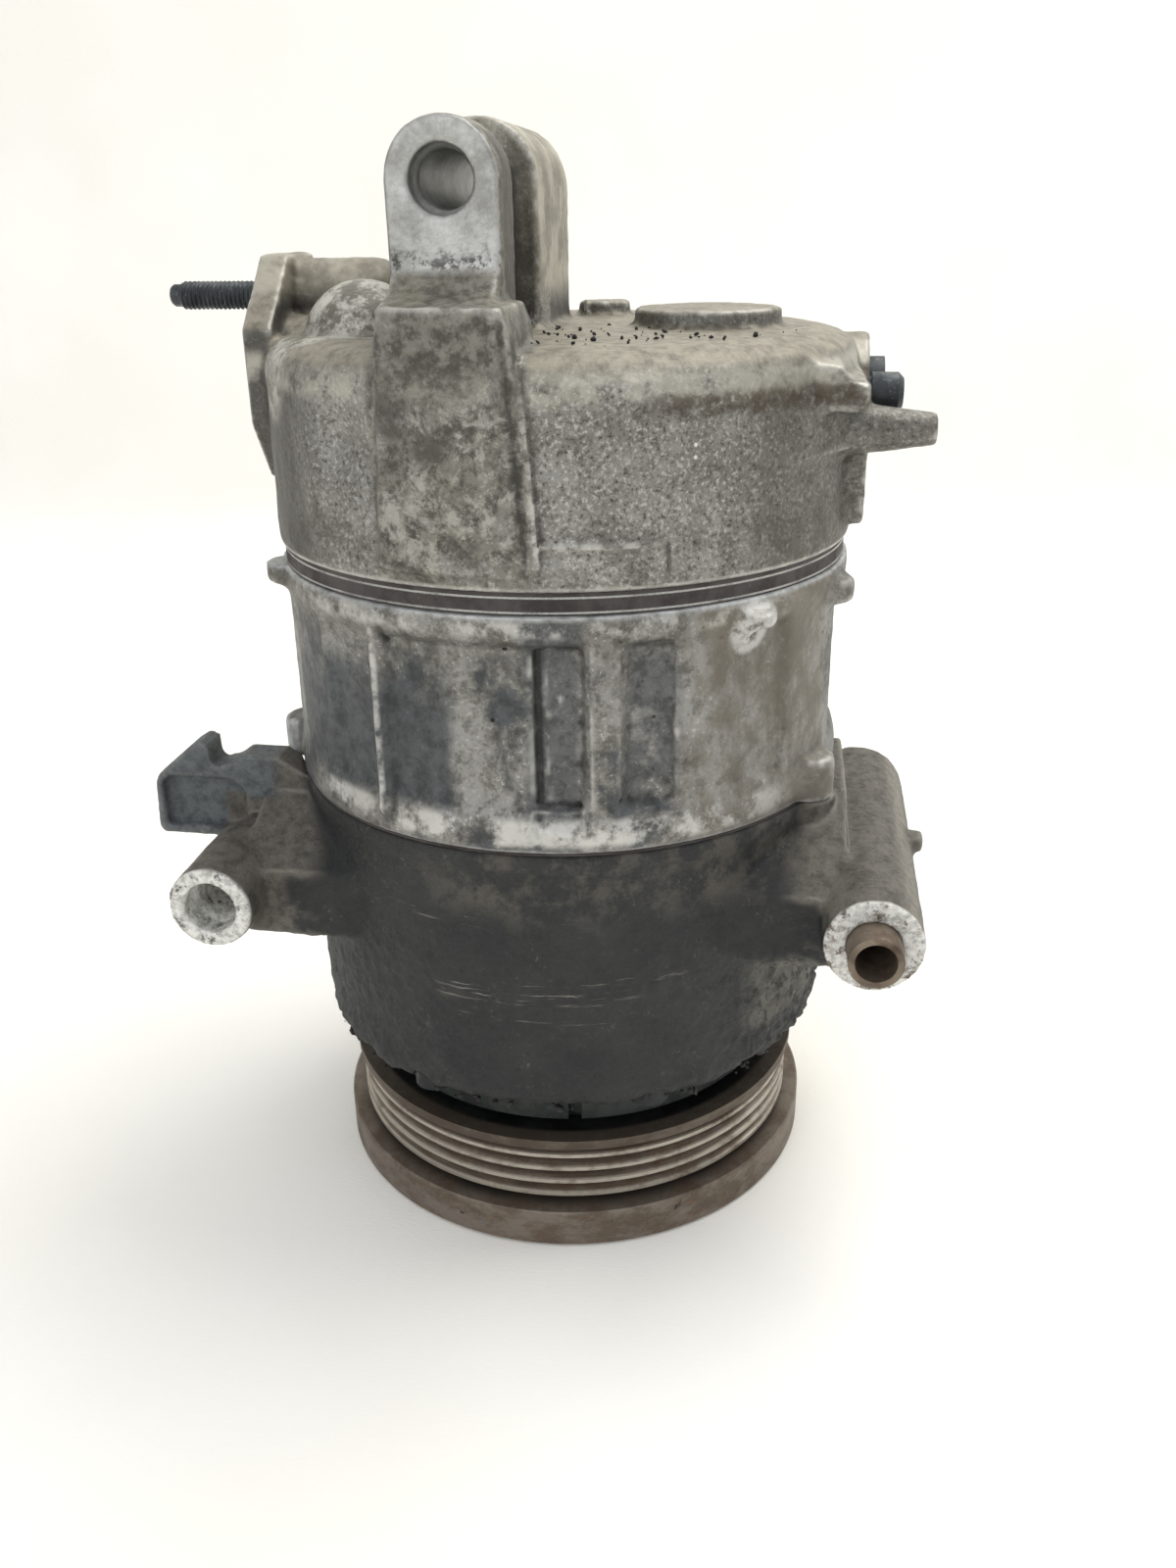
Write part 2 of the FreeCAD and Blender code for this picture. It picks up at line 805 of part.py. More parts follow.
def make_front_housing():
    shell = turned(
        "housing_shell",
        [
            ("seal_bore_radius", "nose_front_z"),
            ("nose_radius", "nose_front_z"),
            ("nose_radius", "clip_front_z - 0.05"),
            ("clip_groove_radius", "clip_front_z - 0.05"),
            ("clip_groove_radius", "clip_front_z + clip_thickness + 0.05"),
            ("nose_radius", "clip_front_z + clip_thickness + 0.05"),
            ("nose_radius", "bearing_rear_z + 0.05"),
            ("nose_shoulder_radius", "bearing_rear_z + 0.05"),
            ("nose_shoulder_radius", "housing_front_z"),
            ("housing_step_radius", "housing_front_z"),
            ("housing_step_radius", "housing_flare_z"),
            ("housing_radius - 1.6", "housing_flare_z + 2"),
            ("housing_radius", "housing_flare_z + 4.5"),
            ("housing_radius", "housing_rear_z - 6"),
            ("housing_rim_radius", "housing_rear_z - 3"),
            ("housing_rim_radius", "housing_rear_z"),
            ("crankcase_radius", "housing_rear_z"),
            ("crankcase_radius", "crankcase_front_z"),
            ("needle_shell_radius + 0.02", "crankcase_front_z"),
            ("needle_shell_radius + 0.02", "seal_bore_end_z"),
            ("seal_bore_radius", "seal_bore_end_z"),
        ],
    )
    solid = [shell] + left_boss() + right_boss() + housing_details()
    body = joined("housing_cast", solid)
    tools = [
        turned(
            "crankcase_space",
            [
                ("0", "seal_bore_end_z + 2"),
                ("needle_shell_radius + 0.02", "seal_bore_end_z + 2"),
                ("needle_shell_radius + 0.02", "crankcase_front_z"),
                ("crankcase_radius", "crankcase_front_z"),
                ("crankcase_radius", "housing_rear_z + 1"),
                ("0", "housing_rear_z + 1"),
            ],
        ),
        cylinder(
            "left_bore",
            "boss_bore_radius",
            "left_boss_length + 4",
            ("-boss_offset", "-boss_face - 1", "boss_height_z"),
            BACK,
        ),
        cylinder(
            "right_bore",
            "sleeve_radius",
            "right_boss_length + 4",
            ("boss_offset", "-boss_face - 1", "boss_height_z"),
            BACK,
        ),
        cylinder(
            "left_counterbore",
            "left_counterbore_radius",
            "counterbore_depth + 1",
            ("-boss_offset", "-boss_face - 1", "boss_height_z"),
            BACK,
        ),
        hook_recess(),
    ]
    keep(cut("front_housing", body, tools + room_for_block() + housing_screw_holes()))


def room_for_block():
    """Clearance above the housing's rim for the block and its low lugs."""
    rim = "housing_rear_z"
    return [
        cylinder("block_room", "block_room_radius", "40", ("0", "0", rim)),
        cylinder("lug_room_right", "lug_room_radius", "40", on_circle("low_lug_circle", -24.0, rim)),
        cylinder("lug_room_left", "lug_room_radius", "40", on_circle("low_lug_circle", 190.0, rim)),
    ]


def housing_screw_holes():
    """The through bolts' holes with their counterbores, and the coil's tapped holes."""
    start = "housing_front_z - 4"
    head_room = "bolt_head_radius + 0.2"
    tapped = "coil_screw_radius + 0.01"
    holes = around("housing_bolt_hole", BOLT_ANGLES, "bolt_hole_radius", "bolt_circle", start, "80")
    holes += around("housing_counterbore", BOLT_ANGLES, head_room, "bolt_circle", start, "12")
    holes += around("housing_coil_hole", COIL_SCREW_ANGLES, tapped, "coil_screw_circle", start, "13")
    return holes


def boss_web(name, start, points):
    """The web that carries a boss, with its sloping top."""
    return padded(name, "YZ_Plane", points, "web_width", False, (start, "0", "0"))


def left_boss():
    """The free-standing round boss on the left and its web."""
    spine = cylinder(
        "left_boss_spine",
        "boss_radius",
        "left_boss_length",
        ("-boss_offset", "-boss_face", "boss_height_z"),
        BACK,
    )
    return [spine, boss_web("left_boss_web", "-boss_offset + 3", LEFT_WEB)]


def right_boss():
    """The long boss on the right that holds the steel sleeve, and its web."""
    spine = cone(
        "right_boss_spine",
        "right_boss_radius",
        "boss_back_radius",
        "right_boss_length - 3",
        ("boss_offset", "-boss_face", "boss_height_z"),
        BACK,
    )
    end = cone(
        "right_boss_end",
        "boss_back_radius",
        "boss_back_radius - 3",
        "3",
        ("boss_offset", "-boss_face + right_boss_length - 3", "boss_height_z"),
        BACK,
    )
    tab = box("right_boss_tab", "4", "5", "4", ("boss_offset + 9", "-16", "boss_height_z + 2"))
    return [spine, end, tab, boss_web("right_boss_web", "boss_offset - 32", RIGHT_WEB)]


def housing_details():
    """A small cast lug near the joint to the block, and the hook that holds the coil's lead."""
    seam_lug = cylinder("seam_lug", "7", "9", on_circle("59.5", -22.0, "housing_rear_z - 9"))
    hook = padded(
        "lead_hook",
        "XZ_Plane",
        [
            ("-56", "88"),
            ("-56", "100.5"),
            ("-63", "105"),
            ("-71.5", "105.4"),
            ("-74.3", "103.4"),
            ("-78.2", "102.2"),
            ("-79.3", "103.2"),
            ("-79.6", "107.4"),
            ("-81.7", "108.4"),
            ("-84", "107"),
            ("-93", "99.4"),
            ("-94", "97"),
            ("-94.4", "86"),
            ("-93.4", "84.6"),
            ("-70", "84.6"),
        ],
        "hook_thickness",
        True,
        ("0", "hook_y", "0"),
    )
    return [seam_lug, hook]


def hook_recess():
    """The shallow tray in the front of the hook, inside its rim."""
    return padded(
        "hook_tray",
        "XZ_Plane",
        [
            ("-92", "87"),
            ("-92", "97.6"),
            ("-90.4", "99.3"),
            ("-75", "99.3"),
            ("-72", "96"),
            ("-72", "87"),
        ],
        "6",
        True,
        ("0", "hook_y - hook_thickness / 2", "0"),
    )


def make_boss_sleeve():
    outer = cylinder(
        "sleeve_outside",
        "sleeve_radius - 0.02",
        "right_boss_length + sleeve_proud",
        ("boss_offset", "-boss_face - sleeve_proud", "boss_height_z"),
        BACK,
    )
    bore = cylinder(
        "sleeve_bore",
        "sleeve_bore_radius",
        "right_boss_length + sleeve_proud + 4",
        ("boss_offset", "-boss_face - sleeve_proud - 2", "boss_height_z"),
        BACK,
    )
    keep(cut("boss_sleeve", outer, [bore]))


def make_nose_clip():
    full = ring(
        "nose_clip_ring",
        "clip_groove_radius + 0.05",
        "clip_outer_radius",
        "clip_front_z",
        "clip_front_z + clip_thickness",
    )
    gap = box("nose_clip_gap", "12", "7", "4", ("clip_groove_radius - 3", "-3.5", "clip_front_z - 1"))
    keep(cut("nose_clip", full, [gap]))


def make_shaft_seal():
    keep(
        turned(
            "shaft_seal",
            [
                ("shaft_radius + 0.06", "20"),
                ("seal_bore_radius - 0.02", "18"),
                ("seal_bore_radius - 0.02", "27"),
                ("shaft_radius + 0.06", "27"),
                ("shaft_radius + 0.06", "25.5"),
                ("shaft_radius + 1.2", "24.5"),
                ("shaft_radius + 1.2", "22"),
                ("shaft_radius + 0.06", "21.2"),
            ],
        )
    )
    full = ring("seal_clip_ring", "seal_bore_radius - 2", "seal_bore_radius - 0.05", "16.6", "17.8")
    gap = box("seal_clip_gap", "8", "5", "4", ("seal_bore_radius - 4", "-2.5", "15"))
    keep(cut("seal_clip", full, [gap]))


# ---------------------------------------------------------------- shaft and bearings


def make_shaft():
    blank = turned(
        "shaft_blank",
        [
            ("0", "shaft_front_z"),
            ("shaft_nose_radius", "shaft_front_z"),
            ("shaft_nose_radius", "shaft_step_z"),
            ("shaft_radius", "shaft_step_z"),
            ("shaft_radius", "shaft_shoulder_z"),
            ("shaft_stub_radius", "shaft_shoulder_z"),
            ("shaft_stub_radius", "shaft_rear_z"),
            ("0", "shaft_rear_z"),
        ],
    )
    thread = cylinder("shaft_thread", "hub_bolt_radius + 0.01", "hub_bolt_length", ("0", "0", "hub_seat_z"))
    keep(cut("drive_shaft", blank, [thread]))


def needle_bearing(name, low):
    shell = ring(
        name + "_shell",
        "shaft_radius + needle_radius * 2 + 0.15",
        "needle_shell_radius",
        low,
        low + " + needle_length + 1",
    )
    needles = around(
        name + "_needle",
        [20.0 * index for index in range(18)],
        "needle_radius",
        "shaft_radius + needle_radius + 0.06",
        low + " + 0.5",
        "needle_length",
    )
    keep(group(name, [shell] + needles))


def thrust_bearing(name, low, inner, outer, count):
    """Two washers with a crown of radial rollers between them."""
    middle = low + " + washer_thickness + thrust_roller_radius"
    lower = ring(name + "_race_one", inner, outer, low, low + " + washer_thickness")
    upper = ring(
        name + "_race_two",
        inner,
        outer,
        middle + " + thrust_roller_radius",
        middle + " + thrust_roller_radius + washer_thickness",
    )
    rollers = []
    for index in range(count):
        angle = index * 360.0 / count
        roller = doc.addObject("Part::Cylinder", "%s_roller_%d" % (name, index))
        roller.setExpression("Radius", bound("thrust_roller_radius - 0.01"))
        roller.setExpression("Height", bound("%s - (%s) - 2" % (outer, inner)))
        radial = Vector(math.cos(math.radians(angle)), math.sin(math.radians(angle)), 0)
        rollers.append(place(roller, on_circle(inner + " + 1", angle, middle), radial))
    keep(group(name, [lower, upper] + rollers))


def make_bearings():
    needle_bearing("front_needle_bearing", "front_needles_z")
    needle_bearing("rear_needle_bearing", "rear_needles_z")
    thrust_bearing(
        "front_thrust_bearing",
        "crankcase_front_z + 0.02",
        "thrust_inner_radius",
        "thrust_outer_radius",
        20,
    )
    keep(
        ring(
            "rear_thrust_washer",
            "shaft_stub_radius + 0.3",
            "rear_cavity_radius - 0.3",
            "shaft_shoulder_z + 0.05",
            "shaft_shoulder_z + 2.4",
        )
    )
    keep(
        turned(
            "preload_spring",
            [
                ("7.5", "129.5"),
                ("12.6", "131.6"),
                ("12.6", "132.6"),
                ("7.5", "130.5"),
            ],
        )
    )
    full = ring("block_clip_ring", "9.5", "rear_cavity_radius - 0.05", "132.7", "134")
    gap = box("block_clip_gap", "8", "6", "4", ("8", "-3", "131.5"))
    keep(cut("block_clip", full, [gap]))


# ---------------------------------------------------------------- swash-plate drive


def make_lug_plate():
    disc = turned(
        "lug_disc",
        [
            ("shaft_radius + running_gap", "lug_front_z + 0.95"),
            ("lug_radius", "lug_front_z + 0.95"),
            ("lug_radius", "lug_rear_z"),
            ("lug_hub_radius", "lug_rear_z"),
            ("lug_hub_radius", "lug_hub_z"),
            ("shaft_radius + running_gap", "lug_hub_z"),
        ],
    )
    arms = []
    for side in (-1, 1):
        inner = "lug_arm_inner_y" if side > 0 else "-lug_arm_outer_y"
        arms.append(
            box(
                "lug_arm_%d" % side,
                "lug_arm_out - lug_arm_in",
                "lug_arm_outer_y - lug_arm_inner_y",
                "lug_arm_top_z - lug_rear_z + 1",
                ("-lug_arm_out", inner, "lug_rear_z - 1"),
            )
        )
    spring_seat = cylinder("spring_seat", "spring_radius + 2", "4", ("0", "0", "lug_hub_z - 1.5"))
    shaft_way = cylinder("lug_bore", "shaft_radius + running_gap", "60", ("0", "0", "40"))
    keep(cut("lug_plate", fused("lug_blank", [disc] + arms), pin_path() + [spring_seat, shaft_way]))


def pin_position(tilt):
    """The guide pin's X and Z when the plate is tilted by so many radians."""
    out = DIMENSIONS["guide_pin_x"]
    drop = DIMENSIONS["guide_pin_drop"]
    slide = DIMENSIONS["cylinder_circle"] * STROKE_RATIO * tilt
    across = -out * math.cos(tilt) - drop * math.sin(tilt)
    along = out * math.sin(tilt) - drop * math.cos(tilt) - slide
    return across, DIMENSIONS["plate_z"] + along


def pin_path():
    """The slot that the guide pin runs in, as overlapping round cuts along its path."""
    cuts = []
    for station in range(PIN_STATIONS):
        across, along = pin_position(LARGEST_TILT * station / (PIN_STATIONS - 1))
        cuts.append(
            cylinder(
                "pin_path_%d" % station,
                "guide_pin_radius + loose_gap",
                "30",
                ("%.4f" % across, "-15", "%.4f" % along),
                BACK,
            )
        )
    return cuts


def make_swash_plate():
    disc = turned(
        "swash_disc",
        [
            ("plate_bore_radius", "-plate_hub_drop"),
            ("plate_hub_radius", "-plate_hub_drop"),
            ("plate_hub_radius + 2", "-plate_half_thickness"),
            ("plate_radius", "-plate_half_thickness"),
            ("plate_radius", "plate_half_thickness"),
            ("plate_bore_radius", "plate_half_thickness"),
        ],
        ("0", "0", "plate_z"),
    )
    arm = box(
        "swash_arm",
        "9",
        "plate_arm_half_width * 2",
        "guide_pin_drop + 3.5 - plate_half_thickness",
        ("-guide_pin_x - 4.5", "-plate_arm_half_width", "plate_z - guide_pin_drop - 4.5"),
    )
    weight_low = "plate_z - plate_half_thickness - 5"
    weight = shared(
        "swash_weight",
        [
            cylinder("weight_disc", "plate_hub_radius + 1.5", "6", ("0", "0", weight_low)),
            box("weight_side", "20", "40", "12", ("18", "-20", weight_low + " - 1")),
        ],
    )
    tools = [
        cylinder("pivot_bore", "pivot_pin_radius + running_gap", "70", ("0", "-35", "plate_z"), BACK),
        cylinder(
            "guide_bore",
            "guide_pin_radius + 0.01",
            "30",
            ("-guide_pin_x", "-15", "plate_z - guide_pin_drop"),
            BACK,
        ),
        cylinder("swash_bore", "plate_bore_radius", "40", ("0", "0", "plate_z - 20")),
    ]
    keep(cut("swash_plate", fused("swash_blank", [disc, arm, weight]), tools))
    keep(
        cylinder(
            "guide_pin",
            "guide_pin_radius",
            "guide_pin_half_length * 2",
            ("-guide_pin_x", "-guide_pin_half_length", "plate_z - guide_pin_drop"),
            BACK,
        )
    )


def make_swash_sleeve():
    inner = "shaft_radius + running_gap"
    tube = ring("sleeve_tube", inner, "swash_sleeve_radius", "sleeve_front_z", "sleeve_rear_z")
    cross = cylinder("sleeve_cross", "pivot_pin_radius + 0.01", "40", ("0", "-20", "plate_z"), BACK)
    keep(cut("swash_sleeve", tube, [cross]))
    pins = [
        cylinder(
            "pivot_pin_%d" % index,
            "pivot_pin_radius",
            "pivot_pin_outer - pivot_pin_inner",
            ("0", start, "plate_z"),
            BACK,
        )
        for index, start in enumerate(("pivot_pin_inner", "-pivot_pin_outer"))
    ]
    keep(group("pivot_pins", pins))


def make_return_spring():
    """Closed coil spring between the lug plate and the swash sleeve."""
    helix = doc.addObject("Part::Helix", "spring_path")
    helix.LocalCoord = 0
    helix.Style = 1
    helix.SegmentLength = 0.5
    helix.setExpression("Pitch", bound("spring_height / spring_turns"))
    helix.setExpression("Height", bound("spring_height"))
    helix.setExpression("Radius", bound("spring_radius"))
    section = doc.addObject("Part::Circle", "spring_section")
    section.setExpression("Radius", bound("spring_wire"))
    section.Placement = Placement(Vector(number("spring_radius"), 0, 0), Rotation(Vector(1, 0, 0), 90))
    spring = doc.addObject("Part::Sweep", "return_spring")
    spring.Sections = [section]
    spring.Spine = (helix, [])
    spring.Solid = True
    spring.Frenet = True
    place(spring, ("0", "0", "lug_hub_z - 1.45 + spring_wire"))
    keep(spring)


# ---------------------------------------------------------------- pistons and shoes


def make_piston(index, angle):
    name = "piston_%d" % (index + 1)
    top = "crown_z - plate_z"
    stem = turned(
        name + "_stem",
        [
            ("0", "neck_start"),
            ("neck_tip_radius", "neck_start"),
            ("neck_radius", "neck_full"),
            ("neck_radius", top + " - piston_head_length"),
            ("piston_radius", top + " - piston_head_length + 1"),
            ("piston_radius", top + " - 0.6"),
            ("piston_radius - 0.6", top),
            ("0", top),
        ],
    )
    tail = turned(
        name + "_tail",
        [
            ("0", "-neck_start"),
            ("neck_tip_radius", "-neck_start"),
            ("neck_radius - 0.5", "-neck_full"),
            ("neck_radius - 0.5", "-piston_tail"),
            ("0", "-piston_tail"),
        ],
    )
    bridge = box(
        name + "_bridge",
        "bridge_outer - bridge_inner",
        "bridge_half_width * 2",
        top + " - piston_head_length + piston_tail + 0.5",
        ("bridge_inner", "-bridge_half_width", "-piston_tail"),
    )
    solid = fused(name + "_solid", [stem, tail, bridge])
    envelope = cylinder(name + "_envelope", "piston_radius", "80", ("0", "0", "-20"))
    trimmed = shared(name + "_trimmed", [solid, envelope])
    pocket = ball(name + "_pocket", "shoe_ball_radius + running_gap", ("0", "0", "0"))
    gap_low = ("0", "0", "0.01 - neck_start")
    gap_disc = cylinder(name + "_gap_disc", "piston_radius + 1", "neck_start * 2 - 0.02", gap_low)
    bridge_room = box(name + "_bridge_keep", "20", "40", "40", ("bridge_inner", "-20", "-20"))
    rim_way = cut(name + "_gap_block", gap_disc, [bridge_room])
    piston = cut(name, trimmed, [pocket, rim_way])
    place(piston, on_circle("cylinder_circle", angle, "plate_z"), UP, angle)
    keep(piston)


def make_shoes(index, angle):
    """A pair of ball-segment shoes, one each side of the plate, for one piston."""
    name = "shoes_%d" % (index + 1)
    halves = []
    for side in (-1, 1):
        low = "plate_half_thickness + shoe_gap" if side > 0 else "-plate_half_thickness - shoe_gap - 10"
        sphere = ball("%s_ball_%d" % (name, side), "shoe_ball_radius", ("0", "0", "0"))
        slab = box("%s_slab_%d" % (name, side), "30", "30", "10", ("-15", "-15", low))
        halves.append(shared("%s_half_%d" % (name, side), [sphere, slab]))
    shoes = group(name, halves)
    place(shoes, on_circle("cylinder_circle", angle, "plate_z"), UP, angle)
    keep(shoes)


# ---------------------------------------------------------------- cylinder block


def sector(name, inner, outer, low, high, start, end):
    """A piece of a ring between two angles measured from -Y towards +X."""
    corners = [(inner, low), (outer, low), (outer, high), (inner, high)]
    body = doc.addObject("PartDesign::Body", name)
    sketch = outline_sketch(body, name + "_outline", "XZ_Plane", corners)
    revolution = body.newObject("PartDesign::Revolution", name + "_turning")
    revolution.Profile = sketch
    revolution.ReferenceAxis = (sketch, ["V_Axis"])
    revolution.Angle = end - start
    sketch.Visibility = False
    place(body, ("0", "0", "0"), UP, start - 90.0)
    return body


def make_block():
    blank = turned(
        "block_blank",
        [
            ("0", "block_front_z"),
            ("block_foot_radius - 0.8", "block_front_z"),
            ("block_foot_radius", "block_front_z + 1"),
            ("block_foot_radius", "block_foot_z - 2"),
            ("block_waist_radius", "block_foot_z + 2"),
            ("block_waist_radius", "block_flange_z - 0.6"),
            ("block_flange_radius", "block_flange_z + 0.6"),
            ("block_flange_radius", "block_rear_z"),
            ("0", "block_rear_z"),
        ],
    )
    lugs = [
        high_lug("left_lug", -68.0, "145.6", "4.7"),
        high_lug("right_lug", 44.5, "141.2", "6.6"),
        high_lug("far_right_lug", 74.0, "142.4", "5.6"),
        low_lug("low_right_lug", 66.0, "9.5"),
        low_lug("low_left_lug", -80.0, "9"),
    ]
    tools = [
        sector(
            "block_pocket_%d" % index,
            "block_waist_radius - " + depth,
            "block_waist_radius + 6",
            "pocket_low_z",
            "pocket_high_z",
            start,
            end,
        )
        for index, (start, end, depth) in enumerate(BLOCK_POCKETS)
    ]
    tools += around(
        "cylinder_bore", CYLINDER_ANGLES, "piston_radius + running_gap", "cylinder_circle", "90", "80"
    )
    tools += around("block_bolt_hole", BOLT_ANGLES, "bolt_hole_radius", "bolt_circle", "90", "80")
    tools.append(
        turned(
            "block_centre",
            [
                ("0", "block_front_z - 1"),
                ("block_recess_radius", "block_front_z - 1"),
                ("block_recess_radius", "block_recess_z"),
                ("needle_shell_radius + 0.02", "block_recess_z"),
                ("needle_shell_radius + 0.02", "rear_cavity_front_z"),
                ("rear_cavity_radius", "rear_cavity_front_z"),
                ("rear_cavity_radius", "rear_cavity_rear_z"),
                ("rear_vent_radius", "rear_cavity_rear_z"),
                ("rear_vent_radius", "block_rear_z + 1"),
                ("0", "block_rear_z + 1"),
            ],
        )
    )
    keep(cut("cylinder_block", joined("block_cast", [blank] + lugs), tools))


def high_lug(name, angle, low, height):
    """A rounded lug standing out from the block's rear rim at an angle from -Y towards +X."""
    return cylinder(name, "lug_round", height, on_circle("lug_circle", angle - 90.0, low))


def low_lug(name, angle, height):
    """A rounded lug at the block's foot."""
    at = on_circle("low_lug_circle", angle - 90.0, "block_front_z")
    return cylinder(name, "low_lug_round", height, at)


# ---------------------------------------------------------------- valve stack


def stack_plate(name, low, high, ports):
    """One round plate of the valve stack, with the bolt holes and its own ports."""
    disc = cylinder(name + "_disc", "stack_radius", "%s - %s" % (high, low), ("0", "0", low))
    holes = around(name + "_bolt_hole", BOLT_ANGLES, "bolt_hole_radius", "bolt_circle", low + " - 1", "6")
    for circle, radius in ports:
        label = "%s_port_%s" % (name, len(holes))
        holes += around(label, CYLINDER_ANGLES, radius, circle, low + " - 1", "6")
    keep(cut(name, disc, holes))


def make_valve_stack():
    discharge = ("discharge_port_circle", "discharge_port_radius")
    suction = ("suction_port_circle", "suction_port_radius")
    cylinders = ("cylinder_circle", "piston_radius + 0.2")
    stack_plate("block_gasket", "block_rear_z", "suction_reed_z", [cylinders])
    stack_plate("suction_reed", "suction_reed_z", "valve_plate_z", [discharge])
    stack_plate("valve_plate", "valve_plate_z", "discharge_reed_z", [discharge, suction])
    stack_plate("discharge_reed", "discharge_reed_z", "head_gasket_z", [suction])
    make_head_gasket()


def make_head_gasket():
    low = "head_gasket_z"
    thickness = "head_front_z - head_gasket_z"
    disc = cylinder("head_gasket_disc", "stack_radius", thickness, ("0", "0", low))
    holes = around("head_gasket_hole", BOLT_ANGLES, "bolt_hole_radius", "bolt_circle", low + " - 1", "6")
    holes.append(cylinder("head_gasket_inner", "discharge_chamber_radius", "6", ("0", "0", low + " - 1")))
    holes += [
        sector(
            "head_gasket_window_%d" % index,
            "suction_chamber_inner",
            "suction_chamber_outer",
            low + " - 1",
            low + " + 2",
            60.0 * index + 4.0,
            60.0 * index + 56.0,
        )
        for index in range(6)
    ]
    keep(cut("head_gasket", disc, holes))


def make_crankcase_gasket():
    inner = "crankcase_radius + 0.4"
    outer = "housing_rim_radius - 0.6"
    flat = ring("crankcase_gasket_ring", inner, outer, "housing_rear_z", "block_front_z")
    low = "housing_rear_z - 1"
    holes = around("crankcase_gasket_hole", BOLT_ANGLES, "bolt_hole_radius", "bolt_circle", low, "4")
    keep(cut("crankcase_gasket", flat, holes))


def make_through_bolts():
    bolts = []
    for index, angle in enumerate(BOLT_ANGLES):
        shank = cylinder(
            "bolt_shank_%d" % index,
            "bolt_radius",
            "bolt_end_z - bolt_head_z",
            on_circle("bolt_circle", angle, "bolt_head_z"),
        )
        head = cylinder(
            "bolt_head_%d" % index,
            "bolt_head_radius",
            "bolt_head",
            on_circle("bolt_circle", angle, "bolt_head_z - bolt_head"),
        )
        bolts.append(fused("through_bolt_%d" % index, [shank, head]))
    keep(group("through_bolts", bolts))


# ---------------------------------------------------------------- rear head


def make_rear_head():
    dome = turned(
        "head_dome",
        [
            ("0", "head_front_z"),
            ("head_radius - 0.6", "head_front_z"),
            ("head_radius", "head_front_z + 0.8"),
            ("head_radius - 0.4", "head_shoulder_z"),
            ("head_radius - 1.6", "head_shoulder_z + 3"),
            ("head_radius - 4.5", "head_top_z - 1.2"),
            ("head_radius - 9", "head_top_z - 0.3"),
            ("0", "head_top_z"),
        ],
    )
    cast = joined("head_cast", [dome] + head_ear() + head_column() + head_ports() + head_right_side())
    keep(cut("rear_head", cast, head_chambers() + ear_bores() + port_bores() + side_bores()))


def head_chambers():
    """The discharge and suction chambers, and the tapped holes of the through bolts."""
    low = "head_front_z - 1"
    height = "chamber_top_z - head_front_z + 1"
    depth = "bolt_end_z - head_front_z + 3"
    discharge = cylinder("discharge_chamber", "discharge_chamber_radius", height, ("0", "0", low))
    inner = "suction_chamber_inner"
    suction = ring("suction_chamber", inner, "suction_chamber_outer", low, "chamber_top_z")
    threads = around("head_thread", BOLT_ANGLES, "bolt_radius + 0.01", "bolt_circle", low, depth)
    return [discharge, suction] + threads


def ear_bores():
    at = ("ear_x", "-ear_face - 1", "ear_z")
    return [
        cylinder("ear_bore", "ear_bore_radius", "90", at, BACK),
        cylinder("ear_counterbore", "ear_counterbore_radius", "ear_counterbore_depth + 1", at, BACK),
    ]


def port_bores():
    """The two ports in the pipe flange, their ways into the chambers, and the stud's hole."""
    face = "-port_face - 1"
    depth = "port_bore_depth + 1"
    suction = (face, "suction_port_y", "port_bore_z")
    discharge = (face, "discharge_port_y", "port_bore_z")
    suction_end = ("suction_way_x", "suction_port_y", "chamber_top_z - 4")
    discharge_end = ("discharge_way_x", "discharge_port_y", "chamber_top_z - 4")
    stud = (face, "stud_y", "stud_z")
    return [
        cylinder("suction_bore", "suction_bore_radius", depth, suction, RIGHT),
        cylinder("discharge_bore", "discharge_bore_radius", depth, discharge, RIGHT),
        cylinder("suction_way", "suction_way_radius", "way_length", suction_end),
        cylinder("discharge_way", "discharge_way_radius", "way_length", discharge_end),
        cylinder("discharge_run", "discharge_run_radius", "discharge_run + 1", discharge, RIGHT),
        cylinder("stud_hole", "stud_root_radius + 0.01", "stud_depth + 1", stud, RIGHT),
    ]


def side_bores():
    """The bores for the control valve and the relief valve."""
    control = ("control_valve_end - control_valve_length", "valve_boss_y", "valve_boss_z")
    relief = ("relief_end - 20", "relief_y", "relief_z")
    radius = "control_valve_radius + fit_gap"
    return [
        cylinder("control_valve_bore", radius, "control_valve_length + 6", control, RIGHT),
        cylinder("relief_bore", "relief_shank_radius + fit_gap", "14", relief, RIGHT),
    ]


def head_ear():
    """The rear mounting ear: a front lobe, a narrower neck and a broad back lobe."""
    pieces = []
    lobes = (
        ("front", "ear_radius", "-ear_face", "ear_front_length"),
        ("neck", "ear_neck_half_width", "-ear_face + 6", "40"),
        ("back", "ear_back_radius", "-ear_back_front", "ear_back_front + ear_back_rear"),
    )
    for name, radius, start, length in lobes:
        pieces.append(cylinder("ear_%s_round" % name, radius, length, ("ear_x", start, "ear_z"), BACK))
        pieces.append(
            box(
                "ear_%s_stem" % name,
                radius + " * 2",
                length,
                "ear_z - head_shoulder_z + 4",
                ("ear_x - " + radius, start, "head_shoulder_z - 4"),
            )
        )
    return pieces


def head_column():
    """The column that carries the ear down the front of the head, with its tapering rib."""
    face = padded(
        "column_front",
        "XZ_Plane",
        [
            ("column_left", "head_front_z + 3"),
            ("column_right + 3", "head_front_z + 3"),
            ("column_right", "column_top_z - 4"),
            ("column_right - 1.5", "column_top_z"),
            ("column_left + 3.5", "column_top_z"),
            ("column_left + 2", "column_top_z - 6"),
        ],
        "24",
        True,
        ("0", "-column_face + 12", "0"),
    )
    rounded = cylinder("column_envelope", "column_face + 0.4", "60", ("0", "0", "head_front_z"))
    return [shared("column_cast", [face, rounded]), column_slope()]


